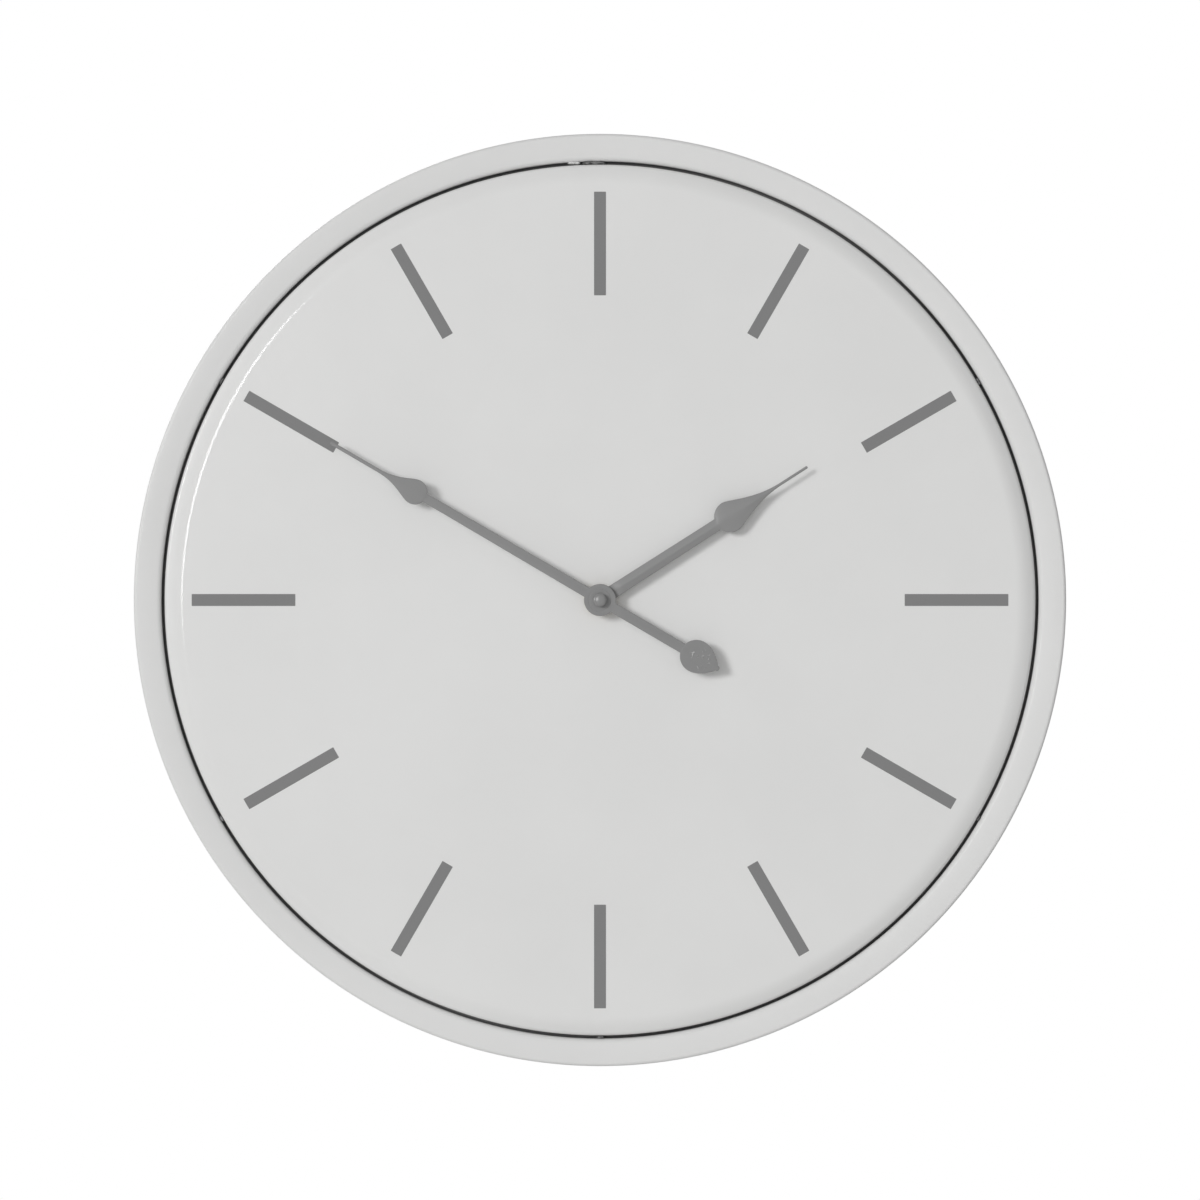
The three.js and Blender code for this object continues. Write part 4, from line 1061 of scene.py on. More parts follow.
@dataclass
class DialPan(SubAssembly):
    """The dial, a shallow pan whose rim rolls back, with twelve printed hour bars and its tacked spacers."""

    sheet: float = 1.0
    plateau: float = 187.3
    roll_radius: float = 14.0
    roll_angle: float = 25.0
    edge_radius: float = 3.0
    flange: float = 10.0
    ledge: float = 3.1
    bush_hole: float = 4.3
    bar_inner: float = 137.0
    bar_outer: float = 183.6
    bar_width: float = 5.36
    bar_corner: float = 0.15
    ink_thickness: float = 0.06
    ink_gap: float = 0.004
    spacer_widths: tuple[float, ...] = (11.0, 3.4, 3.0, 3.6, 3.0, 3.2)
    spacer_shift: float = -2.8
    spacer_margin: float = 0.02
    spacer_overhang: float = 0.4
    run_width: float = 6.0
    run_shift: float = -8.9

    def section(self) -> np.ndarray:
        """The pan's section as points of (radius, depth).

        The face is flat, then follows an arc down to the roll's slope, a short cone and a smaller arc.

        Returns:
            The closed outline.
        """
        span = Span.of("dial_pan")
        radius, face, rear = span.reach - self.ledge, span.front, span.rear
        slope = math.radians(self.roll_angle)
        roll = (self.plateau, face + self.roll_radius)
        edge_radius = radius - self.edge_radius
        roll_end = np.array(roll) + self.roll_radius * np.array([math.sin(slope), -math.cos(slope)])
        run = edge_radius + self.edge_radius * math.sin(slope) - roll_end[0]
        edge = (edge_radius, roll_end[1] + run * math.tan(slope) + self.edge_radius * math.cos(slope))
        last, sheet = 270 + self.roll_angle, self.sheet
        return np.concatenate([
            [[self.bush_hole, face]],
            arc(roll, self.roll_radius, 270, last, 24),
            arc(edge, self.edge_radius, last, 360, 14),
            [[radius, rear - sheet], [radius + self.ledge, rear - sheet], [radius + self.ledge, rear]],
            [[radius - self.flange, rear], [radius - self.flange, rear - sheet]],
            [[radius - sheet, rear - sheet]],
            arc(edge, self.edge_radius - sheet, 360, last, 10),
            arc(roll, self.roll_radius - sheet, last, 270, 16),
            [[self.bush_hole, face + sheet]],
        ])

    def hour_bars(self) -> bpy.types.Object:
        """Makes the twelve bars: thin slabs of ink round the face, a twelfth of a turn apart.

        Returns:
            The bars as one piece.
        """
        face = Span.of("dial_pan").front
        half = self.bar_width / 2
        outline = block(-half, half, self.bar_inner, self.bar_outer, self.bar_corner, 2)
        bar = layers(outline, (face - self.ink_thickness, face - self.ink_gap))
        bars = [mesh_piece("bar", turned_about_y(bar, 30 * hour), Ends.CAPPED) for hour in range(12)]
        return joined("hour_bars", bars)

    def spacer(self, name: str, degrees: float, width: float, shift: float, seed: int) -> bpy.types.Object:
        """A tack between hoop and pan under paint: a rounded block swollen by three slow waves.

        Args:
            name: the piece's name.
            degrees: its clockwise place from twelve.
            width: its length along the gap.
            shift: how far it lies from that place, along the gap.
            seed: the seed of its waves.

        Returns:
            The new object.
        """
        node = Span.of("dial_spacer_1")
        middle = (node.low[2] + node.high[2]) / 2
        pan_radius = Span.of("dial_pan").reach - self.ledge
        half_gap = (Span.of("frame_hoop").reach - Hoop.face_width - pan_radius) / 2 - self.spacer_margin
        around, along = np.meshgrid(
            np.linspace(0, 2 * math.pi, 24, endpoint=False), np.linspace(-1, 1, 33), indexing="xy")
        waves = np.random.default_rng(seed).uniform(0, 2 * math.pi, 3)
        slow, quick = np.sin(5 * along + waves[0]), np.sin(9 * along + waves[1])
        swell = 1 - 0.12 * (slow + quick * np.cos(around + waves[2]))
        girth = np.sqrt(np.clip(1 - np.abs(along) ** 3.5, 0, 1))
        height = (node.high[1] - node.low[1]) / 2 + self.spacer_overhang
        bulge = 0.9 * height * girth * np.clip(swell, 0, 1.1)
        depth = node.centre[1] - self.spacer_overhang + bulge * np.sin(around)
        radial = middle + half_gap * girth * np.cos(around)
        rings = np.stack([along * width / 2 + shift, depth, radial], axis=-1)
        return mesh_piece(name, turned_about_y(rings, degrees), Ends.POINTED)

    def build(self) -> None:
        """Makes the pan, its bars and its spacers."""
        pan = revolve("dial_shell", self.section(), segments=288)
        self.mount(pan, "dial_enamel", "dial_paint", replaced=["dial_pan"])
        self.mount(self.hour_bars(), "print_ink", "hand_paint")
        for index, width in enumerate(self.spacer_widths):
            shift = self.spacer_shift if index == 0 else 0.0
            lump = self.spacer(f"rim_tack_{index + 1}", index * 60, width, shift, 11 + index)
            self.mount(lump, "tack_enamel", "hoop_paint", replaced=[f"dial_spacer_{index + 1}"])
        run = self.spacer("paint_run", 0, self.run_width, self.spacer_shift + self.run_shift, 3)
        self.mount(run, "hoop_enamel", "hoop_paint")


@dataclass(frozen=True)
class HandShape:
    """A spade hand's half outline; lengths are measured from the hand axis."""

    hub: float
    stem_root: float
    stem_neck: float
    spade_centre: float
    spade_radius: float
    shoulder: float
    waist: float
    taper: float
    needle: float
    tip: float
    crown: float
    tail: "TailShape | None" = None

    def side(self) -> np.ndarray:
        """The right side from its tail to the needle's tip.

        The hub is an arc, the stem a straight line, the spade an arc that a cubic curve draws into the
        needle, and the needle ends in a half circle.

        Returns:
            Points of (half width, distance).
        """
        root = math.degrees(math.acos(self.stem_root / self.hub))
        drop = math.sqrt(self.spade_radius ** 2 - self.stem_neck ** 2)
        neck = math.degrees(math.atan2(drop, self.stem_neck))
        spade, wide, thin = self.spade_centre, self.spade_radius, self.needle
        needle_root, needle_end = spade + self.taper, self.tip - thin
        draw = [(wide, spade), (wide, spade + self.shoulder), (thin, spade + self.waist), (thin, needle_root)]
        start = -90.0
        first = []
        if self.tail:
            first = [self.tail.side()]
            start = -math.degrees(math.acos(self.tail.stem / self.hub))
        return np.concatenate([
            *first,
            arc((0, 0), self.hub, start, root, 48),
            np.linspace((self.stem_root, self.hub + 1), (self.stem_neck, spade - drop - 0.5), 60),
            arc((0, spade), wide, -neck, 0, 24),
            bezier(draw, 48)[1:],
            np.linspace((thin, needle_root + 1), (thin, needle_end), 24),
            arc((0, needle_end), thin, 0, 90, 6)[1:],
        ])


@dataclass(frozen=True)
class TailShape:
    """The counterweight behind a hand."""

    stem: float
    spade_centre: float
    spade_radius: float
    shoulder: float
    cheek_width: float
    cheek: float
    nose: float
    tip: float
    root: float = -7.5

    def side(self) -> np.ndarray:
        """The right side from the tail's tip to the hub: a cubic curve, an arc and a straight stem.

        Returns:
            Points of (half width, distance).
        """
        drop = math.sqrt(self.spade_radius ** 2 - self.stem ** 2)
        neck = math.degrees(math.atan2(drop, self.stem))
        spade, wide, nose = -self.spade_centre, self.spade_radius, self.nose
        nose_end = nose - self.tip
        cheek, shoulder = spade - self.cheek, spade - self.shoulder
        draw = [(nose, nose_end), (self.cheek_width, cheek), (wide, shoulder), (wide, spade)]
        return np.concatenate([
            arc((0, nose_end), nose, -90, 0, 6),
            bezier(draw, 40)[1:],
            arc((0, spade), wide, 0, neck, 28)[1:],
            np.linspace((self.stem, drop + 0.5 + spade), (self.stem, self.root), 40),
        ])


@dataclass
class HandSet(SubAssembly):
    """The hour and minute hands, and the cap that holds them."""

    minute_turn: float = 300.3
    hour_turn: float = 57.3
    edge: float = 0.16
    cap_edge: float = 0.3
    cap_corner: float = 1.5
    cap_rise: float = 0.35
    cap_bore: float = 2.05
    collet_flange: float = 1.5
    collet_play: float = 0.08
    bore_play: float = 0.2
    minute: HandShape = HandShape(
        hub=7.2, stem_root=2.35, stem_neck=2, spade_centre=96, spade_radius=5.65, shoulder=4, waist=8.5,
        taper=19, needle=0.8, tip=139.8, crown=0.12,
        tail=TailShape(stem=2.28, spade_centre=50, spade_radius=7.4, shoulder=4.5, cheek_width=3.6,
                       cheek=8.5, nose=1.2, tip=61.8))
    hour: HandShape = HandShape(
        hub=6.6, stem_root=3.05, stem_neck=2.75, spade_centre=69.3, spade_radius=7.1, shoulder=3.7,
        waist=12.7, taper=27.2, needle=0.6, tip=110.6, crown=0.6)

    def blade(self, name: str, shape: HandShape, turn: float, node: str, hole: float) -> bpy.types.Object:
        """A pressed blade: its section is a thin plate with eased edges whose front rises to a soft ridge.

        Across a station of half width w the front stands forward by the crown times 1 - |u|, smoothed at
        the ridge and faded out on the hub, where u runs from -1 to 1 between the edges.

        Args:
            name: the piece's name.
            shape: the outline.
            turn: the clockwise angle from twelve.
            node: the CAD node that gives its depths.
            hole: the radius of the hole for its collet.

        Returns:
            The new object.
        """
        span = Span.of(node)
        front, rear = span.front, span.rear
        side = shape.side()
        width, distance = side[:, 0][:, None], side[:, 1][:, None]
        edge = np.minimum(self.edge, width * 0.5)
        u = np.linspace(-1, 1, 17)[None]
        ridge = np.sqrt(0.02) - np.sqrt(u ** 2 + 0.02) + 1
        off_hub = np.clip((np.abs(distance) - shape.hub) / (0.8 * shape.hub), 0, 1)
        rise = shape.crown * off_hub ** 2 * (3 - 2 * off_hub) * np.minimum(1, width / 3)
        faces = [(u * (width - edge), front - rise * ridge + 0 * u)]
        for depth, start, sign in ((front, 90, 1), (rear, 0, -1)):
            angles = np.radians(np.linspace(start, start - 90, 4))[None]
            faces.append((width - edge + edge * np.cos(angles), depth + sign * edge - edge * np.sin(angles)))
        back = np.linspace(1, -1, 7)[None]
        faces.append((back * (width - edge), rear + 0 * back * width))
        for depth, start, sign in ((rear, -90, -1), (front, -180, 1)):
            angles = np.radians(np.linspace(start, start - 90, 4))[None]
            faces.append((edge - width + edge * np.cos(angles), depth + sign * edge - edge * np.sin(angles)))
        x, y = (np.concatenate([np.broadcast_to(part[axis], (len(side), part[axis].shape[1]))
                                for part in faces], axis=1) for axis in (0, 1))
        rings = np.stack([x, y, np.broadcast_to(distance, x.shape)], axis=-1)
        plate = mesh_piece(name, turned_about_y(rings, turn), Ends.POINTED)
        past_front, past_rear = front - 2, rear + 2
        bit = np.array([[0, past_front], [hole, past_front], [hole, past_rear], [0, past_rear]])
        return carve(plate, revolve("drill", bit, loop=False))

    def cap(self) -> bpy.types.Object:
        """The cap nut: a straight wall and a large round corner under a shallow cone.

        Returns:
            The new object.
        """
        span = Span.of("cap_nut")
        bore_end = Span.of("minute_arbor").front - self.bore_play
        shoulder = span.front + self.cap_rise
        outside = rounded([
            (self.cap_bore, span.rear, 0), (span.reach, span.rear, self.cap_edge),
            (span.reach, shoulder, self.cap_corner), (0, span.front, 0),
        ], steps=14, closed=False)
        bore = [[0, bore_end], [self.cap_bore, bore_end], [self.cap_bore, span.rear]]
        return revolve("cap_dome", np.concatenate([bore, outside[1:]]), segments=72, loop=False, crease=40)

    def hole(self, collet: str) -> float:
        """The radius of the hole that closes round a collet's neck."""
        return Span.of(collet).reach - self.collet_flange + self.collet_play

    def build(self) -> None:
        """Makes both blades and the cap."""
        hour = self.blade("hour_blade", self.hour, self.hour_turn, "hour_hand", self.hole("hour_hand_collet"))
        self.mount(hour, "hour_enamel", "hand_paint", "hour", ["hour_hand"])
        minute = self.blade("minute_blade", self.minute, self.minute_turn, "minute_hand",
                            self.hole("minute_hand_collet"))
        self.mount(minute, "minute_enamel", "hand_paint", "minute", ["minute_hand"])
        self.mount(self.cap(), "cap_enamel", "hand_paint", "minute", ["cap_nut"])


@dataclass
class HexNut:
    """A chamfered nut with a round hole, its outer radius the smaller of a hexagon's and a cone's."""

    flats: float
    hole: float
    mouth: float = 0.14
    face_share: float = 1.02
    chamfer_slope: float = 0.55
    side_gap: float = 0.02

    def make(self, name: str, centre: Point, front: float, rear: float) -> bpy.types.Object:
        """Makes the nut.

        Around the axis the hexagon's radius is half the flats over the cosine of the angle from the
        nearest flat's middle; the chamfer cuts it to a circle at both faces.

        Args:
            name: the piece's name.
            centre: the axis as (x, z).
            front: the front face's depth.
            rear: the rear face's depth.

        Returns:
            The new object.
        """
        angles = full_turn(96)
        sector = np.mod(angles + math.pi / 6, math.pi / 3) - math.pi / 6
        hexagon = self.flats / 2 / np.cos(sector)
        face = np.minimum(hexagon, self.flats / 2 * self.face_share)
        drop = (hexagon - face) * self.chamfer_slope + self.side_gap
        level = 0 * angles
        bore, mouth = level + self.hole, level + self.hole + self.mouth
        radius = np.concatenate([bore, mouth, face, hexagon, hexagon, face, mouth, bore], axis=1)
        front_half = [level + front + self.mouth, level + front, level + front, front + drop]
        rear_half = [rear - drop, level + rear, level + rear, level + rear - self.mouth]
        depth = np.concatenate(front_half + rear_half, axis=1)
        return mesh_piece(name, about_axis(angles, radius, depth, centre), Ends.JOINED, crease=20)


@dataclass
class CentreFixing(SubAssembly):
    """What clamps the movement to the dial: the threaded bush, its washer and nut, and the gasket."""

    thread_pitch: float = 0.75
    thread_depth: float = 0.28
    thread_fade: float = 0.5
    bush_wall: float = 1.0
    lead: float = 0.3
    lead_depth: float = 0.15
    turn_steps: int = 48
    length_steps: int = 140

    def bush(self) -> bpy.types.Object:
        """The threaded bush: a tube whose outer radius is cut by a triangle wave of depth and turn.

        Returns:
            The new object.
        """
        span = Span.of("threaded_bush")
        angles = full_turn(self.turn_steps)
        depth = np.linspace(span.front, span.rear, self.length_steps)[None]
        from_front, from_rear = depth - span.front, span.rear - depth
        phase = np.mod(depth / self.thread_pitch + angles / (2 * math.pi), 1)
        groove = self.thread_depth * (1 - np.abs(2 * phase - 1))
        fade = np.clip(from_front / self.thread_fade, 0, 1) * np.clip(from_rear / self.thread_fade, 0, 1)
        lead = self.lead_depth * (1 - np.clip(from_front / self.lead, 0, 1))
        bore = np.full((self.turn_steps, 2), span.reach - self.bush_wall)
        radius = np.concatenate([span.reach - groove * fade - lead, bore], axis=1)
        depths = np.concatenate([depth, [[span.rear, span.front]]], axis=1)
        return mesh_piece("bush_thread", about_axis(angles, radius, depths), Ends.JOINED)

    def ring(self, name: str, node: str, inner: float, edge: float) -> bpy.types.Object:
        """A flat ring with eased edges, as deep and wide as its CAD node.

        Args:
            name: the piece's name.
            node: the CAD node.
            inner: the hole's radius.
            edge: the radius of the eased edges.

        Returns:
            The new object.
        """
        span = Span.of(node)
        return revolve(name, block(inner, span.reach, span.front, span.rear, edge, 3), segments=96)

    def build(self) -> None:
        """Makes the four pieces."""
        self.mount(self.bush(), "turned_brass", "brass", replaced=["threaded_bush"])
        hole = DialPan.bush_hole
        self.mount(self.ring("washer_ring", "dial_washer", hole, 0.2), "turned_brass", "brass",
                   replaced=["dial_washer"])
        self.mount(self.ring("gasket_ring", "dial_gasket", hole, 0.25), "rubber", "rubber",
                   replaced=["dial_gasket"])
        span = Span.of("fixing_nut")
        nut = HexNut(flats=2 * span.radius * math.cos(math.pi / 6), hole=hole)
        self.mount(nut.make("fixing_hexagon", (0, 0), span.front, span.rear), "turned_brass", "brass",
                   replaced=["fixing_nut"])


@dataclass
class RimBrackets(SubAssembly):
    """The four angle brackets that hold the pan in the hoop, each with its screw and nut."""

    edge: float = 0.35
    shank: float = 1.5
    head_height: float = 1.8
    dome_drop: float = 0.891
    recess_arm: float = 1.9
    recess_end: float = 0.5
    recess_half_width: float = 0.5
    recess_side: float = 0.2
    recess_depth: float = 1.0
    nut_flats: float = 5.5
    nut_hole: float = 1.8

    def arm(self, along: np.ndarray, across: np.ndarray) -> np.ndarray:
        """How far a place is inside one bar of the cross: its sides and its ends are even slopes.

        Args:
            along: the distance along the bar.
            across: the distance across it.

        Returns:
            A share from 0 to 1 for each place.
        """
        side = np.clip((self.recess_half_width - np.abs(across)) / self.recess_side, 0, 1)
        end = np.clip((self.recess_arm - np.abs(along)) / self.recess_end, 0, 1)
        return side * end

    def screw(self, name: str, centre: Point, span: Span) -> bpy.types.Object:
        """A cross-recessed screw whose head is a height over its disc.

        The head's height is a flat dome, less the recess depth inside a cross of two bars; the shank below
        is straight and ends in a cone.

        Args:
            name: the piece's name.
            centre: the axis as (x, z).
            span: the CAD screw's box.

        Returns:
            The new object.
        """
        head, shank = span.radius, self.shank
        neck = span.rear - self.head_height
        angles = full_turn(96)
        out = np.linspace(0, 1, 40)[None]
        x, z = head * out * np.sin(angles), head * out * np.cos(angles)
        cross = np.maximum(self.arm(x, z), self.arm(z, x))
        top = span.rear - self.dome_drop * out ** 4 - self.recess_depth * cross
        below = np.array([
            (head, neck + 0.1), (head - 0.1, neck), (shank, neck), (shank, span.front + shank * 0.8),
            (0.2, span.front), (0.0, span.front),
        ])
        radius = np.concatenate([head * out, below[:, 0][None]], axis=1)
        depth = np.concatenate([top, np.broadcast_to(below[:, 1], (len(angles), len(below)))], axis=1)
        rings = about_axis(angles, radius, depth, centre)
        return mesh_piece(name, rings, Ends.JOINED, loop=False, crease=38)

    def build(self) -> None:
        """Makes the brackets, screws and nuts."""
        for index in range(1, 5):
            bracket = eased_copy(f"bracket_{index}", f"dial_bracket_{index}", self.edge)
            self.mount(bracket, "zinc_plate", "zinc_steel", replaced=[f"dial_bracket_{index}"])
            span = Span.of(f"bracket_screw_{index}")
            screw = self.screw(f"screw_{index}", span.axis, span)
            self.mount(screw, "zinc_cast", "zinc_steel", replaced=[f"bracket_screw_{index}"])
            nut_span = Span.of(f"bracket_nut_{index}")
            nut = HexNut(self.nut_flats, self.nut_hole).make(
                f"nut_{index}", span.axis, nut_span.front, nut_span.rear)
            self.mount(nut, "zinc_cast", "zinc_steel", replaced=[f"bracket_nut_{index}"])


@dataclass
class Hanger(SubAssembly):
    """The keyhole plate with its two rivets, and the four pads that touch the wall."""

    edge: float = 0.25
    shank: float = 1.6
    head: float = 2.8
    head_height: float = 1.2
    pad_edge: float = 0.2
    pad_round: float = 0.9
    pad_taper: float = 0.93

    def rivet(self, name: str, span: Span) -> bpy.types.Object:
        """A rivet: a shank between two heads that are quarter ellipses.

        Args:
            name: the piece's name.
            span: the CAD rivet's box.

        Returns:
            The new object.
        """
        front_neck, rear_neck = span.front + self.head_height, span.rear - self.head_height
        profile = np.concatenate([
            arc((0, front_neck), (self.head, self.head_height), -90, 0, 12),
            [[self.shank, front_neck], [self.shank, rear_neck]],
            arc((0, rear_neck), (self.head, self.head_height), 0, 90, 12),
        ])
        return revolve(name, profile, span.axis, 48, loop=False, crease=45)

    def pad(self, name: str, span: Span) -> bpy.types.Object:
        """A wall pad: a slightly tapered disc with a round rear edge.

        Args:
            name: the piece's name.
            span: the CAD pad's box.

        Returns:
            The new object.
        """
        profile = rounded([
            (0, span.front, 0), (span.radius, span.front, self.pad_edge),
            (span.radius * self.pad_taper, span.rear, self.pad_round), (0, span.rear, 0),
        ], closed=False)
        return revolve(name, profile, span.axis, 48, loop=False)

    def build(self) -> None:
        """Makes the plate, rivets and pads."""
        plate = eased_copy("keyhole_plate", "hanger_plate", self.edge)
        self.mount(plate, "zinc_plate", "zinc_steel", replaced=["hanger_plate"])
        for index in (1, 2):
            node = f"hanger_rivet_{index}"
            rivet = self.rivet(f"plate_rivet_{index}", Span.of(node))
            self.mount(rivet, "zinc_cast", "zinc_steel", replaced=[node])
        for index in range(1, 5):
            node = f"wall_pad_{index}"
            self.mount(self.pad(f"bumper_{index}", Span.of(node)), "rubber", "rubber", replaced=[node])


@dataclass
class Movement(SubAssembly):
    """The movement seen from behind: its case and cover, the setting knob and the cell."""

    edge: float = 0.3
    flutes: int = 24
    flute_depth: float = 0.32
    flute_reach: float = 1.0
    flute_ease: float = 0.6
    knob_rim: float = 1.4
    knob_dish: float = 0.6
    dish_slope: float = 0.3
    base_inset: float = 0.35
    base_rim: float = 1.9
    can_round: float = 0.7
    seal_drop: float = 1.0
    seal_rim: float = 1.6
    seal_depth: float = 0.3
    contact_radius: float = 2.75
    mark_height: float = 0.18
    mark_root: float = 0.1
    arrow_gap: float = 1.6
    arrow_width: float = 0.7
    arrow_head: float = 1.3
    arrow_length: float = 2.4
    arrow_start: float = 40.0
    arrow_end: float = 300.0
    ribs: int = 5
    rib_width: float = 0.9
    rib_length: float = 15.0
    rib_pitch: float = 2.0
    rib_inset: float = 5.0
    sign_inset: float = 4.0
    sign_rise: float = 3.4
    sign_arm: float = 1.5
    sign_half_width: float = 0.32
    sign_gap: float = 0.02

    def knob(self) -> bpy.types.Object:
        """The fluted knob: its radius dips by a shallow cosine of the turn, and its top is dished.

        Returns:
            The new object.
        """
        span = Span.of("setting_knob")
        outer, front, rear = span.radius, span.front, span.rear
        angles = full_turn(self.flutes * 8)
        flute = self.flute_depth * (0.5 - 0.5 * np.cos(self.flutes * angles)) ** 2
        rim, dish = outer - self.knob_rim, rear - self.knob_dish
        profile = rounded([
            (0.0, front, 0), (outer, front, 0.3), (outer, rear, 0.5), (rim, rear, 0.2),
            (rim - self.dish_slope, dish, 0.3), (0.0, dish, 0),
        ], steps=4, closed=False)
        radius = profile[:, 0][None]
        cut = flute * np.clip((radius - outer + self.flute_reach) / self.flute_ease, 0, 1)
        rings = about_axis(angles, radius - cut, profile[:, 1][None], span.axis)
        return mesh_piece("knob_grip", rings, Ends.JOINED, loop=False)

    def cell(self) -> bpy.types.Object:
        """The cell: a profile turned about a line along X, with crimped ends and a raised contact.

        Returns:
            The new object.
        """
        span = Span.of("battery_cell")
        radius = float(span.high[2] - span.low[2]) / 2
        left, right = float(span.low[0]), span.reach
        base, seal = left + self.base_inset, right - self.seal_drop
        floor, base_rim, seal_rim = seal - self.seal_depth, radius - self.base_rim, radius - self.seal_rim
        profile = rounded([
            (base, 0, 0), (base, base_rim - 0.3, 0.2), (left, base_rim, 0.2), (left, radius, self.can_round),
            (seal, radius, self.can_round), (seal, seal_rim, 0.25), (floor, seal_rim - 0.2, 0.2),
            (floor, self.contact_radius, 0.1), (right, self.contact_radius, 0.5), (right, 0, 0),
        ], steps=4, closed=False)
        angles = full_turn(96)
        along, reach = profile[:, 0][None], profile[:, 1][None]
        y, z = span.centre[1] + reach * np.sin(angles), span.centre[2] + reach * np.cos(angles)
        rings = np.stack([np.broadcast_to(along, y.shape), y, z], axis=-1)
        return mesh_piece("cell_can", rings, Ends.JOINED, loop=False)

    def turn_arrow(self, front: float, rear: float) -> list[bpy.types.Object]:
        """The arrow round the knob: a band between two arcs, and a triangle at its first end.

        Args:
            front: the depth of the mark's root.
            rear: the depth of its top.

        Returns:
            The band and the head.
        """
        knob = Span.of("setting_knob")
        ring = knob.radius + self.arrow_gap
        start, end = self.arrow_start, self.arrow_end
        outside = arc(knob.axis, ring + self.arrow_width, start, end, 48)
        band = np.concatenate([outside, arc(knob.axis, ring, end, start, 48)])
        out = np.array([math.cos(math.radians(start)), math.sin(math.radians(start))])
        ahead = np.array([out[1], -out[0]]) * self.arrow_length
        root = np.array(knob.axis) + (ring + self.arrow_width / 2) * out
        head = np.stack([root - out * self.arrow_head, root + ahead, root + out * self.arrow_head])
        return [mesh_piece("turn_band", layers(band, (front, rear)), Ends.CAPPED),
                slab("turn_head", head, front, rear, 0.05)]

    def signs(self, front: float, rear: float) -> list[bpy.types.Object]:
        """The signs for the cell's ends: a bar at the left, and a bar with two short arms at the right.

        Args:
            front: the depth of the mark's root.
            rear: the depth of its top.

        Returns:
            The four bars.
        """
        bay = Span.of("battery_cell")
        z = float(bay.high[2]) + self.sign_rise
        arm, half = self.sign_arm, self.sign_half_width
        left, right = float(bay.low[0]) + self.sign_inset, bay.reach - self.sign_inset
        outlines = [block(x - arm, x + arm, z - half, z + half, 0.1, 2) for x in (left, right)]
        for low, high in ((half + self.sign_gap, arm), (-arm, -half - self.sign_gap)):
            outlines.append(block(right - half, right + half, z + low, z + high, 0.05, 2))
        return [slab(f"sign_{number}", outline, front, rear, 0.04) for number, outline in enumerate(outlines)]

    def marks(self) -> bpy.types.Object:
        """Raised marks moulded on the cover: a turning arrow at the knob, vent ribs and the cell's signs.

        Returns:
            The marks as one piece.
        """
        cover = Span.of("movement_cover")
        front, rear = cover.rear - self.mark_root, cover.rear + self.mark_height
        right = cover.reach - self.rib_inset
        ribs = []
        for rib in range(self.ribs):
            z = float(cover.high[2]) - self.rib_inset - rib * self.rib_pitch
            outline = block(right - self.rib_length, right, z, z + self.rib_width, 0.3, 3)
            ribs.append(slab(f"rib_{rib}", outline, front, rear, 0.08))
        return joined("cover_marks", self.turn_arrow(front, rear) + ribs + self.signs(front, rear))

    def build(self) -> None:
        """Makes the case, cover, knob, cell and marks."""
        case = eased_copy("case_shell", "movement_case", self.edge)
        self.mount(case, "case_plastic", "black_plastic", replaced=["movement_case"])
        cover = eased_copy("cover_shell", "movement_cover", self.edge)
        self.mount(cover, "case_plastic", "black_plastic", replaced=["movement_cover"])
        self.mount(self.knob(), "knob_plastic", "black_plastic", "setting", ["setting_knob"])
        self.mount(self.cell(), "cell_sleeve", "cell_sleeve", replaced=["battery_cell"])
        self.mount(self.marks(), "print_ink", "black_plastic")


@dataclass
class InnerWorks(SubAssembly):
    """The pieces inside the movement and behind the hands, which keep their CAD shape."""

    finishes: dict[str, tuple[str, ...]] = field(default_factory=lambda: {
        "turned_brass": ("hour_hand_collet", "minute_arbor"),
        "cap_enamel": ("minute_hand_collet",),
        "nylon": ("hour_wheel", "centre_wheel", "motion_wheel", "setting_pinion", "third_wheel",
                  "seconds_wheel", "intermediate_wheel", "rotor_pinion", "coil_bobbin"),
        "case_plastic": ("train_plate",),
        "chip_resin": ("chip_cover",),
        "ferrite": ("rotor_magnet",),
        "soft_iron": ("stator", "coil_core"),
        "copper_winding": ("coil_winding",),
        "solder_mask": ("circuit_board",),
        "zinc_cast": ("quartz_crystal",),
        "zinc_plate": ("contact_positive", "contact_negative"),
    })

    def build(self) -> None:
        """Gives each node its finish."""
        for finish, nodes in self.finishes.items():
            for node in nodes:
                mesh = frame["nodes"][node].data
                mesh.materials.clear()
                mesh.materials.append(self.palette.material(finish))
                LOG.info("%s: %s", node, finish)


# ---- Studio ----

class Sheen(Enum):
    """What a light adds to a surface."""

    BOTH = "light and reflection"
    DIFFUSE = "light only"
    MIRRORED = "reflection only"


@dataclass(frozen=True)
class Lamp:
    """An elliptical soft light: its direction and distance in metres from the dial, its size and power."""

    name: str
    way: tuple[float, float, float]
    distance: float
    size: Point
    power: float
    seen_in: Sheen = Sheen.BOTH


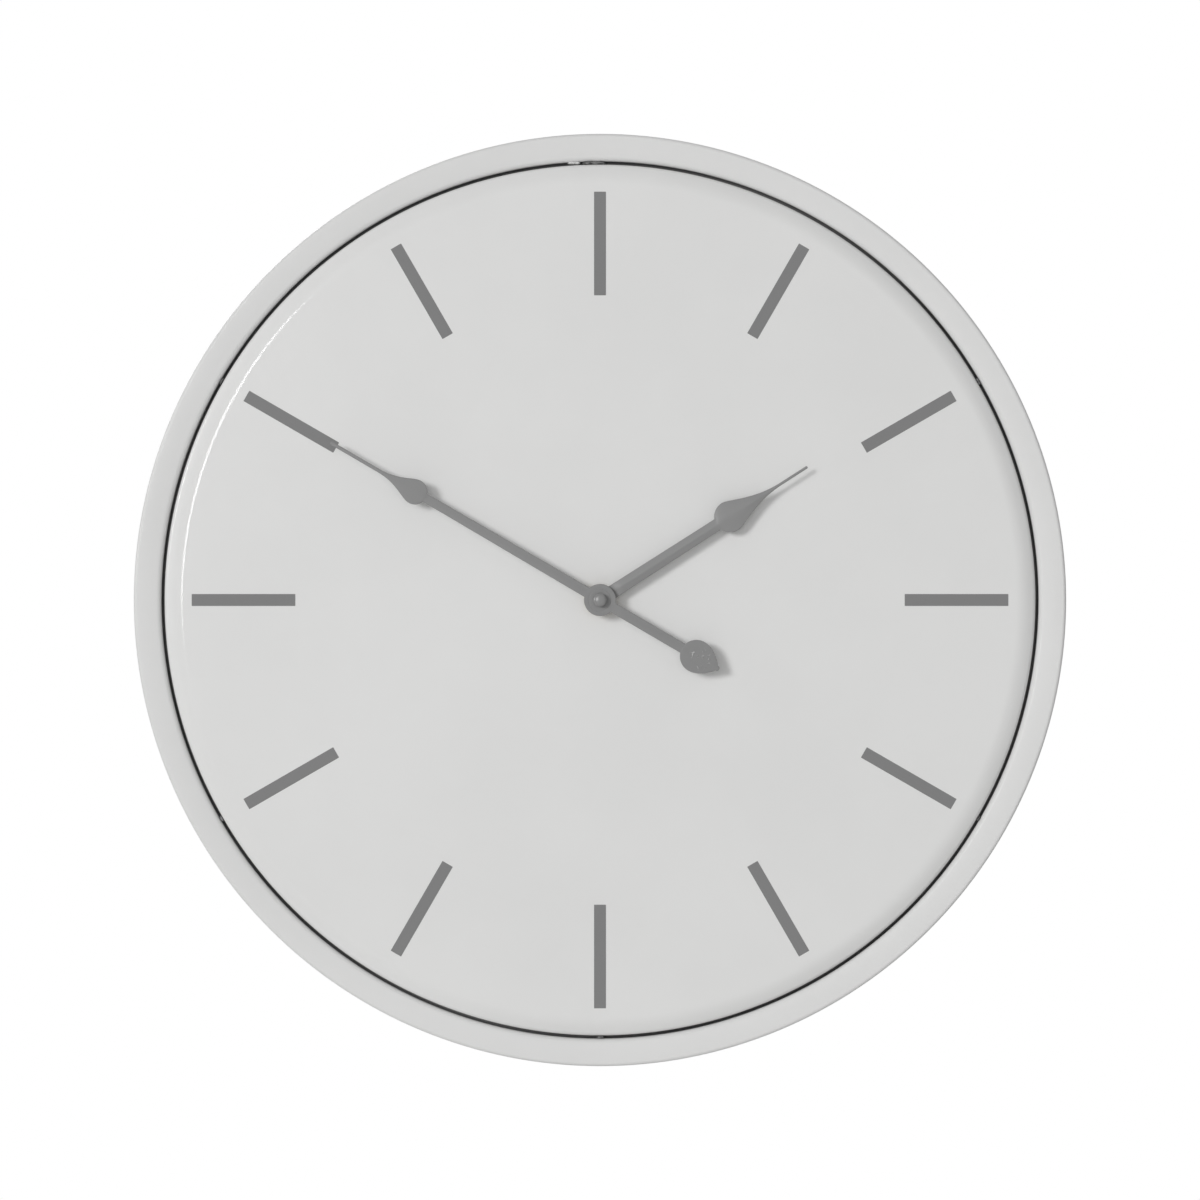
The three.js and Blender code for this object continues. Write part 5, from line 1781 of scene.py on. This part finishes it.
@dataclass
class Studio:
    """A square-on camera, a distant key light, fills, two lights seen only in gloss, and a pale floor."""

    field_width: float = 0.5402
    distance: float = 2.2
    sensor: float = 36.0
    world_light: float = 0.296
    floor_height: float = -0.75
    lamps: tuple[Lamp, ...] = (
        Lamp("key", (-0.545, -0.813, 0.203), 20.0, (5.8, 5.8), 1885.0, Sheen.DIFFUSE),
        Lamp("front_fill", (0, -1, 0), 2.6, (1.6, 1.6), 9.0, Sheen.DIFFUSE),
        Lamp("strip", (-0.61, -2.2, 0.26), 2.28, (0.3, 0.6), 6.8, Sheen.MIRRORED),
        Lamp("rim", (-0.94, -0.3, 0.24), 2.5, (0.3, 1.0), 13.0, Sheen.MIRRORED),
        Lamp("side_fill", (0.7, -0.6, -0.35), 2.6, (1.6, 1.6), 3.0),
        Lamp("back_fill", (-0.5, 0.8, 0.5), 2.4, (1.4, 1.4), 14.0),
    )

    def camera(self) -> None:
        """Sets the camera in front of the hand axis."""
        face = Span.of("frame_hoop").front * MM
        data = bpy.data.cameras.new("camera")
        data.sensor_width = self.sensor
        data.lens = self.sensor * self.distance / self.field_width
        data.clip_end = 50
        camera = bpy.data.objects.new("camera", data)
        camera.location = (0, face - self.distance, HAND_AXIS_Z * MM)
        camera.rotation_euler = (math.pi / 2, 0, 0)
        bpy.context.scene.collection.objects.link(camera)
        bpy.context.scene.camera = camera

    def light(self, lamp: Lamp) -> None:
        """Hangs a light that faces the hand axis.

        Args:
            lamp: the light.
        """
        data = bpy.data.lights.new(lamp.name, "AREA")
        data.shape = "ELLIPSE"
        data.size, data.size_y = lamp.size
        data.energy = lamp.power
        hung = bpy.data.objects.new(lamp.name, data)
        aim = np.array([0, Span.of("frame_hoop").front * MM, HAND_AXIS_Z * MM])
        direction = np.array(lamp.way) / np.linalg.norm(lamp.way)
        hung.location = tuple(aim + direction * lamp.distance)
        hung.rotation_euler = Vector(tuple(direction)).to_track_quat("Z", "Y").to_euler()
        hung.visible_camera = False
        hung.visible_diffuse = lamp.seen_in is not Sheen.MIRRORED
        hung.visible_glossy = lamp.seen_in is not Sheen.DIFFUSE
        bpy.context.scene.collection.objects.link(hung)

    def world(self) -> None:
        """Fills the air with even light that the camera sees as white."""
        world = bpy.data.worlds.new("air")
        world.use_nodes = True
        tree = world.node_tree
        tree.nodes.clear()
        seen, felt = (tree.nodes.new("ShaderNodeBackground") for _ in range(2))
        felt.inputs["Strength"].default_value = self.world_light
        for shader in (seen, felt):
            shader.inputs["Color"].default_value = (1, 1, 1, 1)
        ray = tree.nodes.new("ShaderNodeLightPath")
        choice = tree.nodes.new("ShaderNodeMixShader")
        output = tree.nodes.new("ShaderNodeOutputWorld")
        tree.links.new(ray.outputs["Is Camera Ray"], choice.inputs[0])
        tree.links.new(felt.outputs[0], choice.inputs[1])
        tree.links.new(seen.outputs[0], choice.inputs[2])
        tree.links.new(choice.outputs[0], output.inputs[0])
        bpy.context.scene.world = world

    def floor(self) -> None:
        """Lays the pale floor well below the clock."""
        height = self.floor_height
        corners = [(-3, -2.5, height), (3, -2.5, height), (3, 2, height), (-3, 2, height)]
        mesh = bpy.data.meshes.new("floor")
        mesh.from_pydata(corners, [], [(0, 1, 2, 3)])
        floor = bpy.data.objects.new("floor", mesh)
        bpy.context.scene.collection.objects.link(floor)
        mesh.materials.append(Paint("floor_paint", (0.8, 0.8, 0.79), roughness=0.7, coat=0.0).build())

    def build(self) -> None:
        """Sets up the camera, lights, air and floor."""
        bpy.context.scene.view_settings.view_transform = "Standard"
        self.camera()
        self.world()
        self.floor()
        for lamp in self.lamps:
            self.light(lamp)
        LOG.info("studio: %d lights", len(self.lamps))


def main() -> None:
    """Builds the clock and its studio."""
    logging.basicConfig(level=logging.INFO, format="%(name)s: %(message)s")
    Studio().build()
    palette = clock_palette()
    for assembly in (Hoop, DialPan, HandSet, CentreFixing, RimBrackets, Hanger, Movement, InnerWorks):
        LOG.info("-- %s", assembly.__name__)
        assembly(palette).build()


if __name__ == "__main__":
    main()
